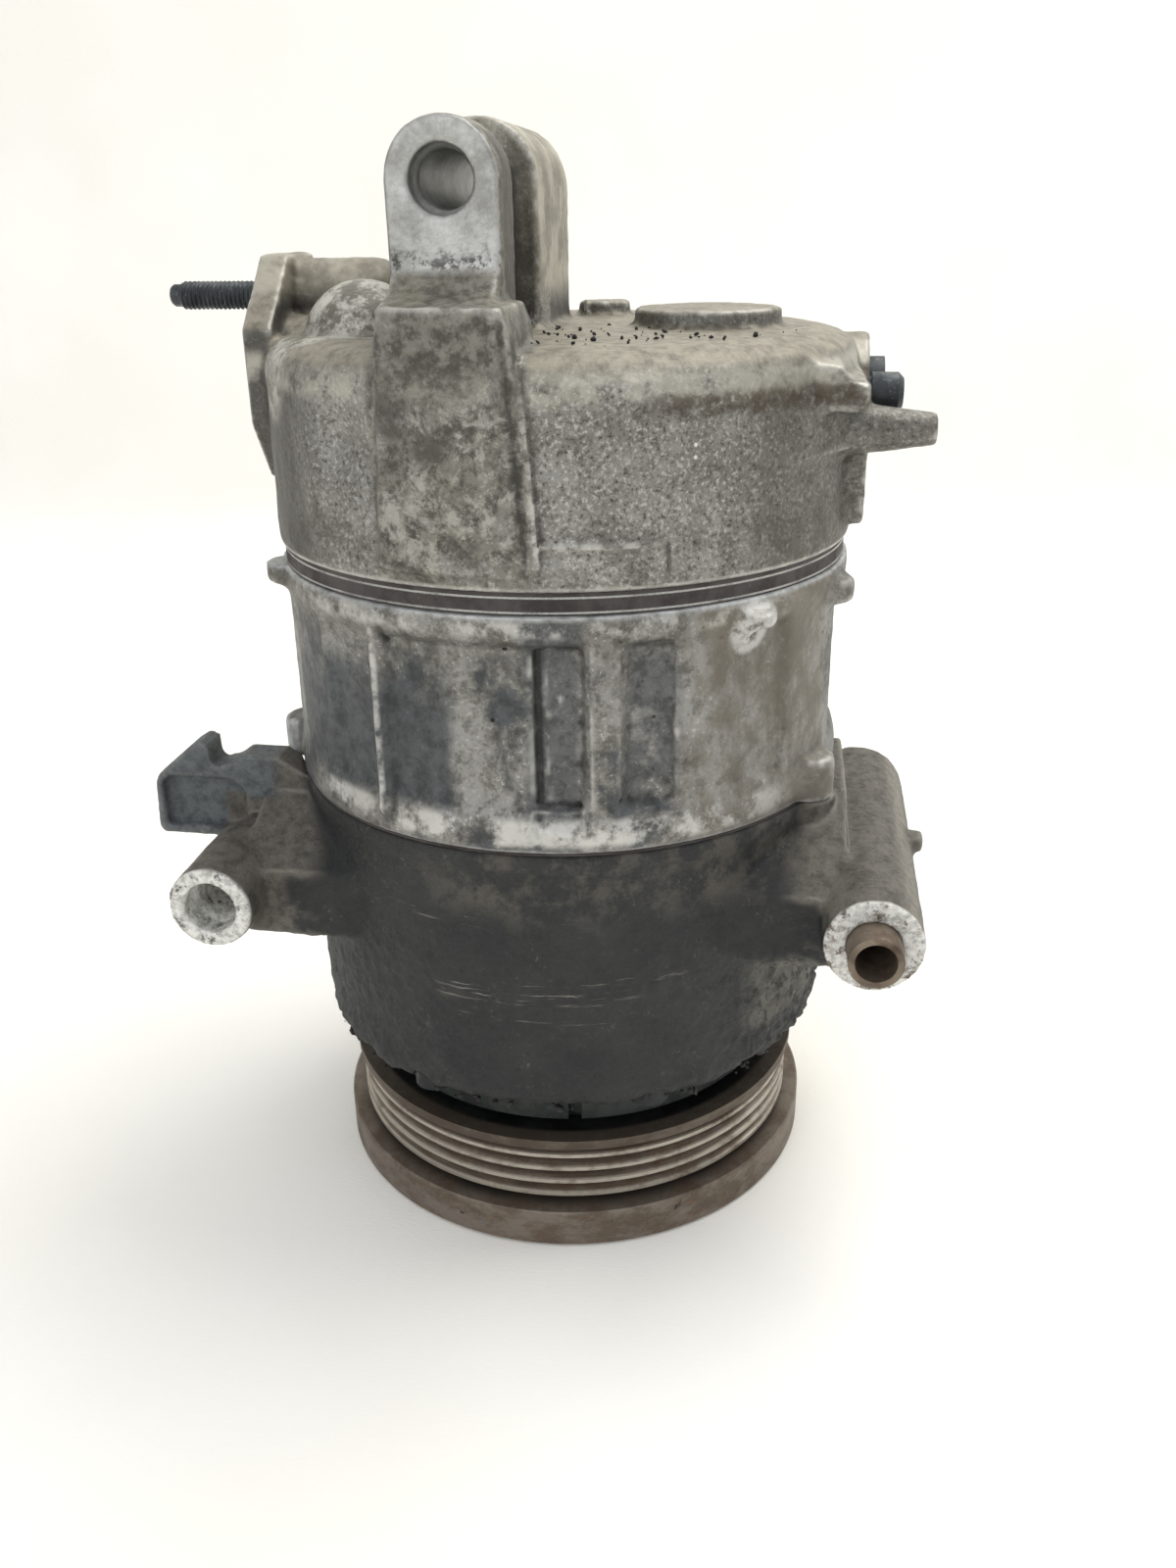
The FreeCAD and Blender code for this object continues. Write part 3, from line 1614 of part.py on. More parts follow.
def column_slope():
    """The sloping step from the column's top up to the machined face of the ear."""
    return padded(
        "column_step",
        "YZ_Plane",
        [
            ("-ear_face + 8", "column_top_z - 8"),
            ("-column_face + 6", "column_top_z - 8"),
            ("-column_face + 7", "column_top_z - 0.5"),
            ("-ear_face - 4", "column_top_z + 1.5"),
            ("-ear_face - 0.6", "column_top_z + 5"),
            ("-ear_face + 8", "column_top_z + 5"),
        ],
        "ear_radius * 2 - 1",
        True,
        ("ear_x", "0", "0"),
    )


def head_ports():
    """The pipe flange on the left with the two ports and the stud, and the passages behind it."""
    flange = padded(
        "port_flange",
        "YZ_Plane",
        [
            ("-port_front", "port_low_z + 12"),
            ("-port_front + 8", "port_low_z"),
            ("port_back - 8", "port_low_z"),
            ("port_back", "port_low_z + 10"),
            ("port_back", "port_high_z - 22"),
            ("stud_y + 8", "port_high_z"),
            ("stud_y - 8", "port_high_z"),
            ("-port_front", "port_high_z - 14"),
        ],
        "port_flange_thickness",
        False,
        ("-port_face", "0", "0"),
    )
    behind = "-port_face + 2"
    suction = (behind, "suction_port_y", "port_bore_z + 3")
    discharge = (behind, "discharge_port_y", "port_bore_z + 1")
    passages = [
        cylinder("suction_passage", "12", "passage_length", suction, RIGHT),
        cylinder("discharge_passage", "10", "passage_length", discharge, RIGHT),
        cylinder("stud_boss", "stud_boss_radius", "stud_boss_length", (behind, "stud_y", "stud_z"), RIGHT),
        ball("stud_boss_end", "stud_boss_radius", (behind + " + stud_boss_length", "stud_y", "stud_z")),
        ball("suction_bulge", "12.5", ("-38", "-16", "194")),
        ball("front_bulge", "10", ("-46", "-24", "186")),
    ]
    return [flange] + passages


def head_right_side():
    """The stepped valve boss, the cast stub and the round pads on the right."""
    step = padded(
        "side_step",
        "XZ_Plane",
        [
            ("40", "183"),
            ("63.2", "183"),
            ("63.2", "188.3"),
            ("59.4", "188.6"),
            ("57.8", "191.4"),
            ("53.2", "191.9"),
            ("50", "194.6"),
            ("40", "195.6"),
        ],
        "30",
        True,
        ("0", "-18.5", "0"),
    )
    wall = padded(
        "side_wall",
        "XZ_Plane",
        [("40", "158.2"), ("64.6", "158.2"), ("64.6", "185.5"), ("60", "189"), ("40", "191")],
        "38",
        True,
        ("0", "3", "0"),
    )
    blend = padded(
        "side_slope",
        "XY_Plane",
        [("48", "-37"), ("52.5", "-35.5"), ("64.6", "-16"), ("64.6", "10"), ("48", "10")],
        "12",
        True,
        ("0", "0", "180.5"),
    )
    boss = ("valve_boss_reach - 36", "valve_boss_y", "valve_boss_z")
    stub = ("stub_end - stub_length", "stub_y", "stub_z")
    return [
        step,
        wall,
        blend,
        cylinder("valve_boss", "valve_boss_radius", "36", boss, RIGHT),
        cone("cast_stub", "6.5", "3.2", "stub_length", stub, RIGHT),
        cylinder("round_pad", "pad_radius", "pad_top_z - head_top_z + 4", ("pad_x", "0", "head_top_z - 4")),
        cylinder("back_boss", "6", "6", ("5", "34", "head_top_z - 3")),
    ]


def make_port_stud():
    """The stud in the pipe flange: a pressed root, a neck, the long thread and a dog point."""
    tip = "-port_face - stud_length + 5"
    thread = "stud_length - 5 - stud_point"
    lengths = [
        ("root", "stud_root_radius", "stud_depth", "-port_face"),
        ("neck", "stud_neck_radius", "stud_neck", "-port_face - 1"),
        ("thread", "stud_thread_radius", thread, tip),
        ("point", "stud_point_radius", "stud_point + 5", "-port_face - stud_length"),
    ]
    pieces = [
        cylinder("stud_" + name, radius, length, (start, "stud_y", "stud_z"), RIGHT)
        for name, radius, length, start in lengths
    ]
    keep(fused("port_stud", pieces))


def make_relief_valve():
    """The relief valve's domed cap, screwed into the stepped boss."""
    shank_at = ("relief_end - 18", "relief_y", "relief_z")
    cap_at = ("relief_end - relief_dome - relief_cap", "relief_y", "relief_z")
    dome_at = ("relief_end - relief_dome", "relief_y", "relief_z")
    shank = cylinder("relief_shank", "relief_shank_radius", "12", shank_at, RIGHT)
    cap = cylinder("relief_cap", "relief_radius", "relief_cap", cap_at, RIGHT)
    tip_radius = "relief_radius - relief_dome"
    dome = cone("relief_dome", "relief_radius", tip_radius, "relief_dome", dome_at, RIGHT)
    keep(fused("relief_valve", [shank, cap, dome]))


def make_control_valve():
    at = ("control_valve_end - control_valve_length + 0.5", "valve_boss_y", "valve_boss_z")
    body = cylinder("control_body", "control_valve_radius", "control_valve_length - 4", at, RIGHT)
    cap = cylinder("control_cap", "control_valve_radius - 1.5", "control_valve_length", at, RIGHT)
    keep(fused("control_valve", [body, cap]))


def write_parts():
    doc.recompute()
    for item in doc.Objects:
        if "Invalid" in item.State or "Error" in item.State:
            raise RuntimeError("%s failed: %s" % (item.Label, item.State))
    for piece in parts:
        if piece.Shape.isNull() or not piece.Shape.isValid():
            raise RuntimeError("%s has no valid shape" % piece.Label)
    os.makedirs("parts", exist_ok=True)
    for piece in parts:
        piece.Shape.exportStep("parts/%s.step" % piece.Label)
        solids = len(piece.Shape.Solids)
        print("%-22s %3d solid(s) %12.1f mm3" % (piece.Label, solids, piece.Shape.Volume))
    print(len(parts), "sub-parts")


make_pulley()
make_pulley_bearing()
make_hub()
make_leaf_springs()
make_rivets()
make_armature()
make_hub_bolt()
make_coil()
make_front_housing()
make_boss_sleeve()
make_nose_clip()
make_shaft_seal()
make_shaft()
make_bearings()
make_lug_plate()
make_swash_plate()
make_swash_sleeve()
make_return_spring()
for cylinder_index, cylinder_angle in enumerate(CYLINDER_ANGLES):
    make_piston(cylinder_index, cylinder_angle)
    make_shoes(cylinder_index, cylinder_angle)
make_block()
make_valve_stack()
make_crankcase_gasket()
make_through_bolts()
make_rear_head()
make_port_stud()
make_relief_valve()
make_control_valve()
write_parts()
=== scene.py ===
"""Looks for the car air-conditioning compressor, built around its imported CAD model."""

import itertools
import math
import random

import bmesh
import bpy
import numpy as np
from mathutils import Matrix, Vector


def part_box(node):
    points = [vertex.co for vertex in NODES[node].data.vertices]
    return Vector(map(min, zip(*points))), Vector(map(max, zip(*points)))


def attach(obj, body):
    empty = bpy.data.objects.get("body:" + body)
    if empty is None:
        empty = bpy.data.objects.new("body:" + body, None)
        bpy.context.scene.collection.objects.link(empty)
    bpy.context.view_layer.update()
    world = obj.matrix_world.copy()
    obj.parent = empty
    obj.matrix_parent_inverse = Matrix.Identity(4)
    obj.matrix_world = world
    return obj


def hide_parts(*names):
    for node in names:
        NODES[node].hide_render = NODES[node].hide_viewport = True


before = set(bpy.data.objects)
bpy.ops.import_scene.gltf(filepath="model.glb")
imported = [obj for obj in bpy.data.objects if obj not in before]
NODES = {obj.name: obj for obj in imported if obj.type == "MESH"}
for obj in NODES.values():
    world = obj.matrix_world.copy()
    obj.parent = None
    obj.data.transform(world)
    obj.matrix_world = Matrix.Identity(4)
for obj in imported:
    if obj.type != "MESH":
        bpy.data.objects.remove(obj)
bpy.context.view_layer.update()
MM = 0.001

# The two front mounting eyes, either side of the shaft, and the rear ear's bore, in millimetres.
EYE_X = 70
EYE_Z = 82
EAR_X = -14
EAR_Z = 223.6

# Casting skins: the even mesh's edge and the running bores' seats, in millimetres.
VOXEL = 0.6
SEAT_REACH = 1.2
SEAT_GAP = 0.06
# How much of the smoothing a machined place is spared.
MACHINED_HOLD = 0.85
# Standing this many millimetres out of the surroundings starts a worn edge, and this many makes it full.
EDGE_STARTS = 0.07
EDGE_FULL = 0.28

# The port stud, in millimetres. It runs along -X from the pipe flange.
FLANGE_X = -62
THREAD_RADIUS = 3.0
THREAD_PITCH = 1.0
THREAD_DEPTH = 0.5
PLAIN_ROOT = 1.5
DOG_POINT = 2.2
DOG_SHARE = 0.78
TIP_BEVEL = 0.6
RING_STEP = 0.12
RING_POINTS = 48

# Multipliers that scramble a lattice corner's whole-number place.
SCRAMBLE = (73856093, 19349663, 83492791, 40503)
WORD = 0xFFFFFFFF
HALF_WORD = 2147483648


# ---------------------------------------------------------------- small helpers

def colour(text):
    """Linear red, green, blue and alpha for a colour written as #rrggbb."""
    parts = [int(text[i:i + 2], 16) / 255 for i in (1, 3, 5)]
    linear = [p / 12.92 if p <= 0.04045 else ((p + 0.055) / 1.055) ** 2.4 for p in parts]
    return (*linear, 1.0)


def lattice_noise(points, size, seed):
    """Smooth repeatable values from -1 to 1 at each point, changing over the given size."""
    scaled = points / size + seed * 17.31
    corner = np.floor(scaled).astype(np.int64)
    inside = scaled - corner
    ease = inside * inside * (3 - 2 * inside)
    total = np.zeros(len(points))
    for step in itertools.product((0, 1), repeat=3):
        x, y, z = (corner + step).T
        mixed = (x * SCRAMBLE[0] ^ y * SCRAMBLE[1] ^ z * SCRAMBLE[2] ^ (seed + 1) * SCRAMBLE[3]) & WORD
        mixed = ((mixed ^ (mixed >> 15)) * 2246822519) & WORD
        mixed = ((mixed ^ (mixed >> 13)) * 3266489917) & WORD
        mixed = mixed ^ (mixed >> 16)
        weight = np.prod(np.where(step, ease, 1 - ease), axis=1)
        total += (mixed / HALF_WORD - 1) * weight
    return total


def rise(values, low, high):
    """0 below low, 1 above high, and a smooth slope between. It falls when high is below low."""
    t = np.clip((values - low) / (high - low), 0, 1)
    return t * t * (3 - 2 * t)


def between(values, start, full, fade, end):
    """0 up to start, 1 from full to fade, and 0 again from end."""
    return rise(values, start, full) * rise(values, end, fade)


def hump(values, centre, width):
    """1 at the centre, falling away smoothly over about the width."""
    return np.exp(-((values - centre) / width) ** 2)


def around_shaft(x, y):
    """The angle round the shaft in degrees, 0 at the front and growing to the right."""
    return np.degrees(np.arctan2(x, -y))


def new_object(name, data):
    """A new object in the scene."""
    piece = bpy.data.objects.new(name, data)
    bpy.context.scene.collection.objects.link(piece)
    return piece


def smooth_shading(mesh):
    """Shades every face of the mesh smooth."""
    mesh.polygons.foreach_set("use_smooth", [True] * len(mesh.polygons))


# ---------------------------------------------------------------- material kit

class Paint:
    """A material in the making. Each method adds a node and returns its output."""

    def __init__(self, name):
        self.material = bpy.data.materials.new(name)
        self.material.use_nodes = True
        self.tree = self.material.node_tree
        self.shader = self.tree.nodes["Principled BSDF"]
        self.place = self.node("ShaderNodeTexCoord").outputs["Object"]
        self.normal = self.node("ShaderNodeNewGeometry").outputs["Normal"]

    def node(self, kind, **settings):
        """A new shader node with the given settings."""
        made = self.tree.nodes.new(kind)
        for key, value in settings.items():
            setattr(made, key, value)
        return made

    def feed(self, socket, value):
        """Links another node's output to the socket, or sets a plain value on it."""
        if isinstance(value, bpy.types.NodeSocket):
            self.tree.links.new(value, socket)
        else:
            socket.default_value = value

    def stretched(self, stretch):
        """The place with X, Y and Z scaled, for noise that runs along lines."""
        mapping = self.node("ShaderNodeMapping")
        self.feed(mapping.inputs["Vector"], self.place)
        mapping.inputs["Scale"].default_value = stretch
        return mapping.outputs["Vector"]

    def noise(self, size, detail=4.0, rough=0.6, stretch=None, offset=0.0, twist=0.0):
        """Noise about 0 to 1, whose blotches are about size millimetres across."""
        made = self.node("ShaderNodeTexNoise", noise_dimensions="4D")
        self.feed(made.inputs["Vector"], self.stretched(stretch) if stretch else self.place)
        made.inputs["W"].default_value = offset
        made.inputs["Scale"].default_value = 1000.0 / size
        made.inputs["Detail"].default_value = detail
        made.inputs["Roughness"].default_value = rough
        made.inputs["Distortion"].default_value = twist
        return made.outputs["Fac"]

    def cells(self, size):
        """Distance to the nearest of many scattered points about size millimetres apart."""
        made = self.node("ShaderNodeTexVoronoi", feature="F1")
        self.feed(made.inputs["Vector"], self.place)
        made.inputs["Scale"].default_value = 1000.0 / size
        return made.outputs["Distance"]

    def mask(self, value, low, high):
        """0 where value is below low, 1 above high. It falls when high is below low."""
        made = self.node("ShaderNodeMapRange", interpolation_type="SMOOTHSTEP")
        self.feed(made.inputs["Value"], value)
        if low < high:
            ends = (low, high, 0.0, 1.0)
        else:
            ends = (high, low, 1.0, 0.0)
        for key, number in zip(("From Min", "From Max", "To Min", "To Max"), ends):
            made.inputs[key].default_value = number
        return made.outputs["Result"]

    def math(self, operation, a, b=0.0, clamp=True):
        """One arithmetic step, kept between 0 and 1 unless clamp is off."""
        made = self.node("ShaderNodeMath", operation=operation, use_clamp=clamp)
        self.feed(made.inputs[0], a)
        self.feed(made.inputs[1], b)
        return made.outputs[0]

    def both(self, *values):
        """The product of masks: 1 only where all are."""
        total = values[0]
        for value in values[1:]:
            total = self.math("MULTIPLY", total, value)
        return total

    def either(self, *values):
        """The largest of masks: 1 where any is."""
        total = values[0]
        for value in values[1:]:
            total = self.math("MAXIMUM", total, value)
        return total

    def axis(self, letter):
        """The place along X, Y or Z in the frame, in metres."""
        made = self.node("ShaderNodeSeparateXYZ")
        self.feed(made.inputs[0], self.place)
        return made.outputs[letter]

    def facing(self, letter):
        """How far the surface looks along X, Y or Z: 1 straight along it, -1 straight against."""
        made = self.node("ShaderNodeSeparateXYZ")
        self.feed(made.inputs[0], self.normal)
        return made.outputs[letter]

    def azimuth(self):
        """The angle round the shaft in degrees, 0 at the front and growing to the right."""
        back = self.math("MULTIPLY", self.axis("Y"), -1.0, False)
        turn = self.math("ARCTAN2", self.axis("X"), back, False)
        return self.math("MULTIPLY", turn, 180 / math.pi, False)

    def radius(self):
        """The distance from the shaft axis in metres."""
        flat = self.node("ShaderNodeVectorMath", operation="MULTIPLY")
        self.feed(flat.inputs[0], self.place)
        flat.inputs[1].default_value = (1, 1, 0)
        length = self.node("ShaderNodeVectorMath", operation="LENGTH")
        self.feed(length.inputs[0], flat.outputs[0])
        return length.outputs["Value"]

    def wavered(self, value, size, amount):
        """The value pushed up and down by noise, so that an edge made from it wanders."""
        centred = self.math("SUBTRACT", self.noise(size, 5.0), 0.5, False)
        push = self.math("MULTIPLY", centred, 2 * amount, False)
        return self.math("ADD", value, push, False)

    def within(self, value, low, high, soft):
        """1 between low and high, with soft edges."""
        return self.both(self.mask(value, low - soft, low + soft), self.mask(value, high + soft, high - soft))

    def near(self, centre, inner, outer):
        """1 within inner metres of a point, fading to 0 at outer metres."""
        made = self.node("ShaderNodeVectorMath", operation="DISTANCE")
        self.feed(made.inputs[0], self.place)
        made.inputs[1].default_value = centre
        return self.mask(made.outputs["Value"], outer, inner)

    def attribute(self, name):
        """A mask stored on the mesh's points."""
        return self.node("ShaderNodeAttribute", attribute_name=name).outputs["Fac"]

    def blend(self, mask, below, above):
        """One colour over another where the mask is 1."""
        made = self.node("ShaderNodeMix", data_type="RGBA")
        self.feed(made.inputs[0], mask)
        self.feed(made.inputs[6], colour(below) if isinstance(below, str) else below)
        self.feed(made.inputs[7], colour(above) if isinstance(above, str) else above)
        return made.outputs[2]

    def level(self, mask, below, above):
        """A number that goes from below to above with the mask."""
        made = self.node("ShaderNodeMapRange")
        self.feed(made.inputs["Value"], mask)
        made.inputs["To Min"].default_value = below
        made.inputs["To Max"].default_value = above
        return made.outputs["Result"]

    def wash(self, tint, mask, amount, above):
        """A colour laid over the tint where the mask is 1, covering it by the given amount."""
        return self.blend(self.level(mask, 0.0, amount), tint, above)

    def bump(self, height, depth, under=None):
        """Surface relief of depth millimetres, over any relief already made."""
        made = self.node("ShaderNodeBump")
        made.inputs["Strength"].default_value = 1.0
        made.inputs["Distance"].default_value = depth * MM
        self.feed(made.inputs["Height"], height)
        if under is not None:
            self.feed(made.inputs["Normal"], under)
        return made.outputs["Normal"]

    def done(self, tint, rough, metal, relief):
        """Feeds the surface shader and returns the finished material."""
        self.feed(self.shader.inputs["Base Color"], tint)
        self.feed(self.shader.inputs["Roughness"], rough)
        self.feed(self.shader.inputs["Metallic"], metal)
        self.feed(self.shader.inputs["Normal"], relief)
        return self.material


# ---------------------------------------------------------------- plain materials

def worn_metal(name, base, dark, light, rough=0.45, metal=0.8):
    """Bare metal with blotches, fine speckle and a slightly uneven skin."""
    p = Paint(name)
    patch = p.mask(p.noise(8.0, 6.0, 0.7), 0.40, 0.64)
    speck = p.mask(p.noise(1.0, 4.0, 0.75), 0.52, 0.68)
    tint = p.blend(patch, base, dark)
    tint = p.blend(p.both(speck, p.mask(p.noise(5.0), 0.4, 0.6)), tint, light)
    gloss = p.level(patch, rough, min(1.0, rough + 0.225))
    return p.done(tint, gloss, metal, p.bump(p.noise(0.8, 4.0), 0.06))


def brushed_metal(name, base, dark, stretch):
    """Turned or ground metal with fine parallel marks."""
    p = Paint(name)
    lines = p.noise(0.5, 3.0, 0.6, stretch=stretch)
    stain = p.mask(p.noise(7.0, 5.0), 0.45, 0.70)
    tint = p.blend(p.mask(lines, 0.35, 0.65), base, dark)
    tint = p.blend(p.both(stain, p.mask(lines, 0.2, 0.9)), tint, "#4a4038")
    return p.done(tint, p.level(stain, 0.35, 0.65), 0.9, p.bump(lines, 0.03))


def moulded(name, base, light, rough=0.6):
    """Rubber or plastic with a faint grain and a dusty bloom."""
    p = Paint(name)
    dust = p.mask(p.noise(5.0, 5.0, 0.7), 0.5, 0.75)
    return p.done(p.blend(dust, base, light), p.level(dust, rough, 0.85), 0.0, p.bump(p.noise(0.4), 0.03))


def dirty_strip():
    """The coil's flange: dull metal under a film of oil."""
    p = Paint("coil_flange")
    oil = p.mask(p.noise(9.0, 6.0, 0.7), 0.40, 0.64)
    tint = p.blend(oil, "#3b403e", "#222525")
    tint = p.blend(p.mask(p.noise(1.0, 4.0, 0.7), 0.60, 0.72), tint, "#565853")
    return p.done(tint, p.level(oil, 0.5, 0.7), 0.3, p.bump(p.noise(0.9, 4.0), 0.08))


def pale_cloth():
    """The plain pale floor and backdrop."""
    p = Paint("pale_floor")
    soft = p.noise(160.0, 3.0, 0.5)
    tint = p.blend(p.mask(soft, 0.35, 0.65), "#fbfaf6", "#f6f4ee")
    weave = p.noise(2.0, 2.0, 0.5, stretch=(1, 3, 1))
    return p.done(tint, 0.9, 0.0, p.bump(weave, 0.08, p.bump(soft, 3.0)))


# ---------------------------------------------------------------- the rear head's material

def head_sides(p):
    """Grey speckled metal, dirtier low down, with painted shade towards the left and right."""
    tint = p.blend(p.mask(p.blotch, 0.34, 0.66), "#93928d", "#75736c")
    tint = p.wash(tint, p.mask(p.fine, 0.50, 0.66), 0.55, "#615d55")
    specks = p.mask(p.noise(1.7, 6.0, 0.8, offset=15.0), 0.52, 0.60)
    tint = p.wash(tint, specks, 0.6, "#55514a")
    tint = p.wash(tint, p.mask(p.grain, 0.53, 0.60), 0.75, "#bfbeba")
    tint = p.wash(tint, p.mask(p.grain, 0.45, 0.38), 0.85, "#3b3730")
    stain = p.both(p.mask(p.wavered(p.z, 9.0, 0.012), 0.170, 0.158), p.mask(p.blotch, 0.40, 0.60))
    tint = p.wash(tint, stain, 0.55, "#4b463e")
    # Painted shade: the head's left and right sides are darkened.
    left = p.mask(p.wavered(p.around, 8.0, 5.0), -34.0, -52.0)
    tint = p.wash(tint, left, 0.8, "#4a4843")
    right = p.mask(p.wavered(p.around, 8.0, 5.0), 34.0, 50.0)
    return p.wash(tint, right, 0.45, "#4f4b43")


def head_top(p, tint, warm, shoulder_highlight):
    """Beige dust on top, a painted highlight along the shoulder under it and a brown line at the right."""
    beige = p.blend(p.mask(p.fine, 0.40, 0.66), "#969080", "#6d685b")
    beige = p.blend(p.mask(p.grain, 0.62, 0.72), beige, "#b3ad9c")
    tint = p.wash(tint, warm, 0.92, beige)
    # Painted highlight: a pale band along the shoulder.
    tint = p.wash(tint, shoulder_highlight, 0.6, "#c3bfb2")
    brow = p.both(p.within(p.wavered(p.z, 5.0, 0.002), 0.1845, 0.1885, 0.001), p.mask(p.around, 14.0, 30.0))
    brow = p.both(brow, p.mask(p.fine, 0.36, 0.56))
    return p.wash(tint, brow, 0.8, "#4d4438")


def head_column(p, tint):
    """Dirt, flaking oxide and two dark drops on the ear's column."""
    column = p.both(p.mask(p.x, 0.0045, 0.0025), p.mask(p.y, -0.030, -0.045), p.mask(p.x, -0.0275, -0.0255))
    dark = p.blend(p.mask(p.fine, 0.40, 0.58), "#7f7c73", "#4b4841")
    tint = p.wash(tint, p.both(column, p.mask(p.blotch, 0.30, 0.50)), 0.85, dark)
    oxide = p.both(column, p.mask(p.noise(7.0, 8.0, 0.82, offset=4.0, twist=0.3), 0.50, 0.60))
    oxide = p.both(oxide, p.mask(p.wavered(p.z, 6.0, 0.006), 0.192, 0.184))
    tint = p.wash(tint, oxide, 0.6, "#b9b7ae")
    high_drop = p.near((-0.0215, -0.0598, 0.1855), 0.0030, 0.0052)
    low_drop = p.near((-0.0140, -0.0612, 0.1795), 0.0022, 0.0042)
    drops = p.both(p.either(high_drop, low_drop), p.mask(p.fine, 0.62, 0.42))
    return p.wash(tint, drops, 0.7, "#3d3a35")


def head_ear(p, tint, bulge):
    """Painted shade in the gap between the ear's two lobes, the pale rear lobe, and the silver bulge beside it
    with a painted highlight.
    """
    # Painted shade: the gap between the ear's two lobes is darkened.
    neck = p.both(p.mask(p.z, 0.1975, 0.2005), p.within(p.x, -0.0075, 0.004, 0.001))
    neck = p.both(neck, p.mask(p.y, -0.010, -0.016), p.mask(p.y, -0.0425, -0.0405))
    tint = p.wash(tint, neck, 0.75, "#37332d")
    lobe = p.both(p.mask(p.z, 0.200, 0.206), p.mask(p.y, -0.016, -0.012))
    pale = p.blend(p.mask(p.blotch, 0.40, 0.60), "#b0ab9c", "#7d786b")
    tint = p.wash(tint, lobe, 0.9, pale)
    # The bulge's greasy silver metal, painted bright to stand in for its highlights.
    silver = p.blend(p.mask(p.noise(5.0, 6.0, 0.75, offset=12.0), 0.42, 0.56), "#c9c7bf", "#6c685e")
    return p.wash(tint, bulge, 0.85, silver)


def head_machined(p):
    """The ear's bright face, scuffed and dirty towards its lower edge, with a painted highlight along its rim."""
    low_face = p.mask(p.wavered(p.z, 4.0, 0.004), 0.2135, 0.2095)
    scuff = p.both(p.mask(p.noise(2.2, 7.0, 0.8, offset=7.0), 0.47, 0.55), p.level(low_face, 0.12, 1.0))
    bright = p.blend(p.mask(p.noise(9.0, 5.0, 0.7), 0.35, 0.65), "#c0c1be", "#93938f")
    bright = p.wash(bright, scuff, 0.85, "#2c2925")
    # Painted highlight: a pale line along the face's rim.
    rim_highlight = p.mask(p.wavered(p.z, 2.0, 0.0012), 0.2095, 0.2082)
    return p.wash(bright, rim_highlight, 0.5, "#cfccc4")


def head_dots(p, tint):
    """Four small bright dots in a square on the head's side."""
    for across in (-1, 1):
        for upward in (-1, 1):
            spot = (0.0311 + 0.0011 * across, -0.0542 + 0.0007 * across, 0.1789 + 0.0011 * upward)
            tint = p.blend(p.near(spot, 0.0002, 0.0006), tint, "#e8e6e0")
    return tint


def head_casting():
    """Weathered aluminium: beige dust above, grey speckled sides, oxide and dirt on the ear's column."""
    p = Paint("head_casting")
    p.x, p.y, p.z = (p.axis(letter) for letter in "XYZ")
    p.around = p.azimuth()
    p.grain = p.noise(0.9, 5.0, 0.75)
    p.blotch = p.noise(15.0, 6.0, 0.68)
    p.fine = p.noise(3.2, 6.0, 0.72)
    warm = p.both(p.mask(p.facing("Z"), 0.10, 0.80), p.mask(p.z, 0.186, 0.194))
    # Painted highlight along the head's shoulder, which is also made glossier.
    shoulder_highlight = p.both(p.within(p.z, 0.1875, 0.1925, 0.0015), p.mask(p.noise(7.0, 5.0, offset=1.0), 0.36, 0.56))
    front_bulge = p.near((-0.046, -0.026, 0.190), 0.010, 0.015)
    rear_bulge = p.near((-0.040, -0.020, 0.198), 0.011, 0.016)
    bulge = p.either(front_bulge, rear_bulge)
    tint = head_top(p, head_sides(p), warm, shoulder_highlight)
    tint = head_ear(p, head_column(p, tint), bulge)
    # Painted shade: the hollows are darkened.
    corner = p.both(p.attribute("hollow"), p.mask(p.fine, 0.25, 0.55))
    tint = p.wash(tint, corner, 0.85, "#2b2823")
    # Worn edges, pale on the crests. The same wash also paints the highlight along the column's rib.
    wear = p.both(p.attribute("crest"), p.mask(p.noise(4.0, 5.0), 0.40, 0.62))
    tint = p.wash(tint, wear, 0.7, "#c2c0b9")
    cut = p.attribute("machined")
    tint = head_dots(p, p.blend(cut, tint, head_machined(p)))
    gloss = p.level(p.either(cut, wear, shoulder_highlight, bulge), 0.52, 0.30)
    metal = p.level(p.either(warm, corner), 0.7, 0.2)
    return p.done(tint, gloss, metal, p.bump(p.grain, 0.16, p.bump(p.fine, 0.22)))


# ---------------------------------------------------------------- the cylinder block's material

def block_metal(p):
    """Bright cast aluminium with light and dark speckle."""
    tint = p.blend(p.mask(p.blotch, 0.38, 0.62), "#969591", "#696761")
    tint = p.wash(tint, p.mask(p.fine, 0.48, 0.62), 0.7, "#54524c")
    tint = p.blend(p.both(p.mask(p.grain, 0.54, 0.64), p.mask(p.fine, 0.6, 0.4)), tint, "#bbbab7")
    return p.wash(tint, p.mask(p.grain, 0.40, 0.32), 0.6, "#35322d")


def block_grease_and_side_shade(p):
    """Where grease lies: the left pockets, the recess and the right valley, with painted shade on both far sides.
    """
    darkened = p.both(p.within(p.around, -60.0, -13.5, 1.5), p.mask(p.wavered(p.z, 10.0, 0.010), 0.141, 0.129))
    darkened = p.both(darkened, p.mask(p.wavered(p.z, 6.0, 0.003), 0.1075, 0.1115))
    darkened = p.either(darkened, p.both(p.mask(p.blotch, 0.50, 0.60), p.mask(p.z, 0.146, 0.138)))
    darkened = p.either(darkened, p.level(p.within(p.around, 1.0, 11.0, 1.0), 0.0, 0.75))
    valley = p.both(p.within(p.around, 19.0, 29.0, 2.0), p.within(p.z, 0.109, 0.144, 0.002))
    valley = p.both(valley, p.mask(p.noise(7.0, 6.0, offset=2.0), 0.34, 0.50))
    darkened = p.either(darkened, p.level(valley, 0.0, 0.8))
    # Painted shade: both far sides are darkened with the grease colour.
    far_right_shade = p.level(p.mask(p.around, 66.0, 84.0), 0.0, 0.6)
    far_left_shade = p.level(p.mask(p.around, -62.0, -80.0), 0.0, 0.6)
    return p.either(darkened, far_right_shade, far_left_shade)


